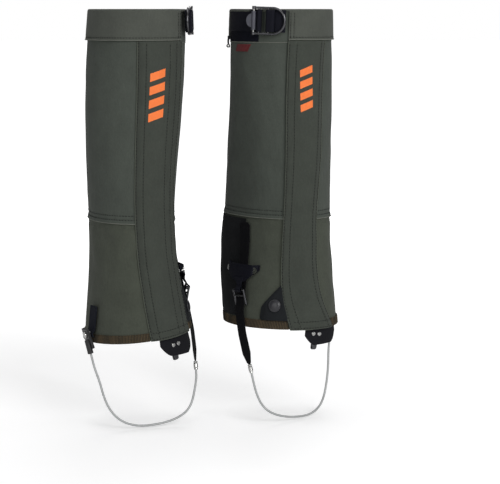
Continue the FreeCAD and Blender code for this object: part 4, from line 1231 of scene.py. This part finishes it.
def shell_stitches(side):
    thread = Thread(side)
    # seam and band rows round the leg
    round_leg = np.linspace(float(free_edge(side, 270.0)) + 1.0,
                            360 + float(sewn_edge(side, 270.0)) - 1.0, 330)
    for row in (5.2, 10.5):
        thread.sew(round_leg, UPPER_BOTTOM + row, -0.2, radius=0.42)
    round_band = np.linspace(BAND_START + 0.5, band_end(side) - 0.5, 330)
    thread.sew(round_band, BAND_Z + 3.4, BAND_OFFSET - 0.05, radius=0.4)
    # upright rows at the band's end, the patch's edges and the red tab's ends
    band_z = np.linspace(BAND_Z + 3, TOP_Z - 4, 30)
    for row in (2.4, 7.0):
        thread.sew(np.full(30, band_end(side) - row / 1.22), band_z, BAND_OFFSET - 0.1,
                   radius=0.42, pitch=3.6, length=2.2)
    patch_z = np.linspace(140.0, SEAM_Z - 5, 90)
    for edge, inward in ((PATCH_START, 1), (PATCH_END, -1)):
        for row in (2.2, 8.0):
            thread.sew(np.full(90, edge + inward * row / 1.3), patch_z, PATCH_OFFSET - 0.2,
                       radius=0.34, pitch=3.8)
    tab_z = np.linspace(487.3, 495.3, 8)
    for base in (88.3, 107.8):
        thread.sew(side_tab_angle(base)(tab_z), tab_z, 1.07, radius=0.2, pitch=2.4, length=1.6)
    # three sides of a box on the outer tab
    _, across, _, outward = seat(side, OUTER_TAB_ANGLE, 145.0)

    def tab_face(z, x):
        return leg(side, OUTER_TAB_ANGLE, z, OUTER_TAB_OFFSET) + across * x + outward * 0.72
    box_half = 6.8
    box_z = np.linspace(135.0, 158.0, 14)
    box_lines = [[tab_face(z, x) for z in box_z] for x in (-box_half, box_half)]
    box_lines.append([tab_face(157.6, x) for x in np.linspace(-box_half, box_half, 8)])
    for line in box_lines:
        thread.run(np.array(line), np.tile(outward, (len(line), 1)), pitch=2.6, length=1.8,
                   radius=0.24)
    piece(side, thread.build("shell_stitches"), "shell", "thread", "black_fabric")


BODY_MAKERS = (main_cloth, top_band, front_flap, print_bars, closure, hem_elastic, snap_tab,
               side_tab, top_webbing, cord_pull, instep_strap, instep_tab)
DETAIL_MAKERS = (ladder_webbing, outer_tab, edge_highlight_lips, buckle_shadow_sheet, shell_stitches)
for makers in (BODY_MAKERS, DETAIL_MAKERS):
    for side in SIDES:
        for make in makers:
            make(side)

# ---------------------------------------------------------------- CAD hardware kept as it is
HARDWARE = dict(
    buckle_frame="gun", lever_pin="bright", buckle_lever="lever", ladder_buckle="gun",
    snap_socket="bright", snap_stud="bright", rivets="bright", cable_fitting="black_plastic",
    stirrup_cable="cable", cable_crimp="bright", lace_hook="gun",
)
for side in SIDES:
    for node_name, material in HARDWARE.items():
        hardware = NODES[f"{side}_{node_name}"]
        give(hardware, material)
        mesh = hardware.data
        mesh.polygons.foreach_set("use_smooth", [True] * len(mesh.polygons))
        mesh.set_sharp_from_angle(angle=math.radians(35))


# ---------------------------------------------------------------- overall size
def visible_bounds():
    """Corners of the box round all meshes but the replaced CAD nodes, in metres."""
    hidden = {NODES[name].name for name in replaced_nodes}
    low = np.array([1e9] * 3)
    high = -low
    for obj in bpy.context.scene.objects:
        if obj.type != "MESH" or obj.name in hidden:
            continue
        places = np.empty(len(obj.data.vertices) * 3)
        obj.data.vertices.foreach_get("co", places)
        places = places.reshape(-1, 3) @ np.array(obj.matrix_world.to_3x3()).T \
            + np.array(obj.matrix_world.translation)
        low = np.minimum(low, places.min(0))
        high = np.maximum(high, places.max(0))
    return [low.tolist(), high.tolist()]


{"cad": CAD_BOX, "visual": visible_bounds()}


# ---------------------------------------------------------------- floor, world, lights, camera
def floor_material():
    """Pale floor that brightens to white away from the gaiters, for the camera only."""
    shader = Shader("floor_pale")
    vector = shader.coords("Object")
    cloud = shader.noise(vector, scale=3.0, detail=2.0, roughness=0.55)
    distance = shader.node("ShaderNodeVectorMath", operation="LENGTH")
    shader.link(vector, distance.inputs[0])
    glow = shader.node("ShaderNodeMapRange")
    for key, value in (("From Min", 0.5), ("From Max", 2.6), ("To Min", 0.30), ("To Max", 1.0)):
        glow.inputs[key].default_value = value
    shader.link(distance.outputs["Value"], glow.inputs["Value"])
    seen = shader.node("ShaderNodeLightPath").outputs["Is Camera Ray"]
    shader.surface({
        "Base Color": shader.ramp(cloud, [(0.3, (0.86, 0.86, 0.865, 1)),
                                          (0.7, (0.88, 0.88, 0.885, 1))]),
        "Roughness": 0.9,
        "Emission Color": (1, 1, 1, 1),
        "Emission Strength": shader.math("MULTIPLY", glow.outputs[0], seen),
    })
    return shader.material


def make_floor(half=30, z=-0.002):
    material = floor_material()
    mesh = bpy.data.meshes.new("floor")
    mesh.from_pydata([(-half, -half, z), (half, -half, z), (half, half, z), (-half, half, z)],
                     [], [(0, 1, 2, 3)])
    floor = bpy.data.objects.new("floor", mesh)
    bpy.context.scene.collection.objects.link(floor)
    mesh.materials.append(material)


def make_world():
    """White to the camera, dim as a light."""
    world = bpy.data.worlds.new("studio")
    bpy.context.scene.world = world
    world.use_nodes = True
    tree = world.node_tree
    background = [n for n in tree.nodes if n.type == "BACKGROUND"][0]
    background.inputs["Color"].default_value = (1.0, 1.0, 1.0, 1.0)
    light_path = tree.nodes.new("ShaderNodeLightPath")
    strength = tree.nodes.new("ShaderNodeMapRange")
    strength.inputs["To Min"].default_value = 0.24
    strength.inputs["To Max"].default_value = 1.0
    tree.links.new(light_path.outputs["Is Camera Ray"], strength.inputs["Value"])
    tree.links.new(strength.outputs[0], background.inputs["Strength"])


def area_light(name, place, target, size, power):
    light = bpy.data.lights.new(name, "AREA")
    light.shape = "RECTANGLE"
    light.size, light.size_y = size
    light.energy = power
    lamp = bpy.data.objects.new(name, light)
    bpy.context.scene.collection.objects.link(lamp)
    lamp.location = place
    aim = Vector(target) - Vector(place)
    lamp.rotation_euler = aim.to_track_quat("-Z", "Y").to_euler()


def make_camera():
    """Long lens in front of the pair, looking slightly down."""
    lens = bpy.data.cameras.new("camera")
    lens.lens = 133.2
    lens.sensor_width = 36.0
    lens.clip_end = 100
    camera = bpy.data.objects.new("camera", lens)
    bpy.context.scene.collection.objects.link(camera)
    camera.location = (0.051035, -2.434, 0.540)
    camera.rotation_euler = (math.radians(90 - 7.15), 0, 0)
    bpy.context.scene.camera = camera


make_floor()
make_world()
# name, place, target, size in metres, power in watts
for light_row in (
        ("key", (1.3, -2.3, 1.5), (0, 0, 0.3), (1.3, 1.3), 47),
        ("fill", (-1.3, -2.6, 1.1), (0, 0, 0.3), (1.4, 1.4), 13),
        ("top", (0.0, 0.2, 2.6), (0, 0, 0.3), (1.6, 1.6), 18),
        ("back", (0.4, 2.4, 1.6), (0, 0, 0.35), (1.6, 1.2), 20)):
    area_light(*light_row)
make_camera()
bpy.context.scene.view_settings.view_transform = "Standard"
bpy.context.scene.view_settings.look = "None"
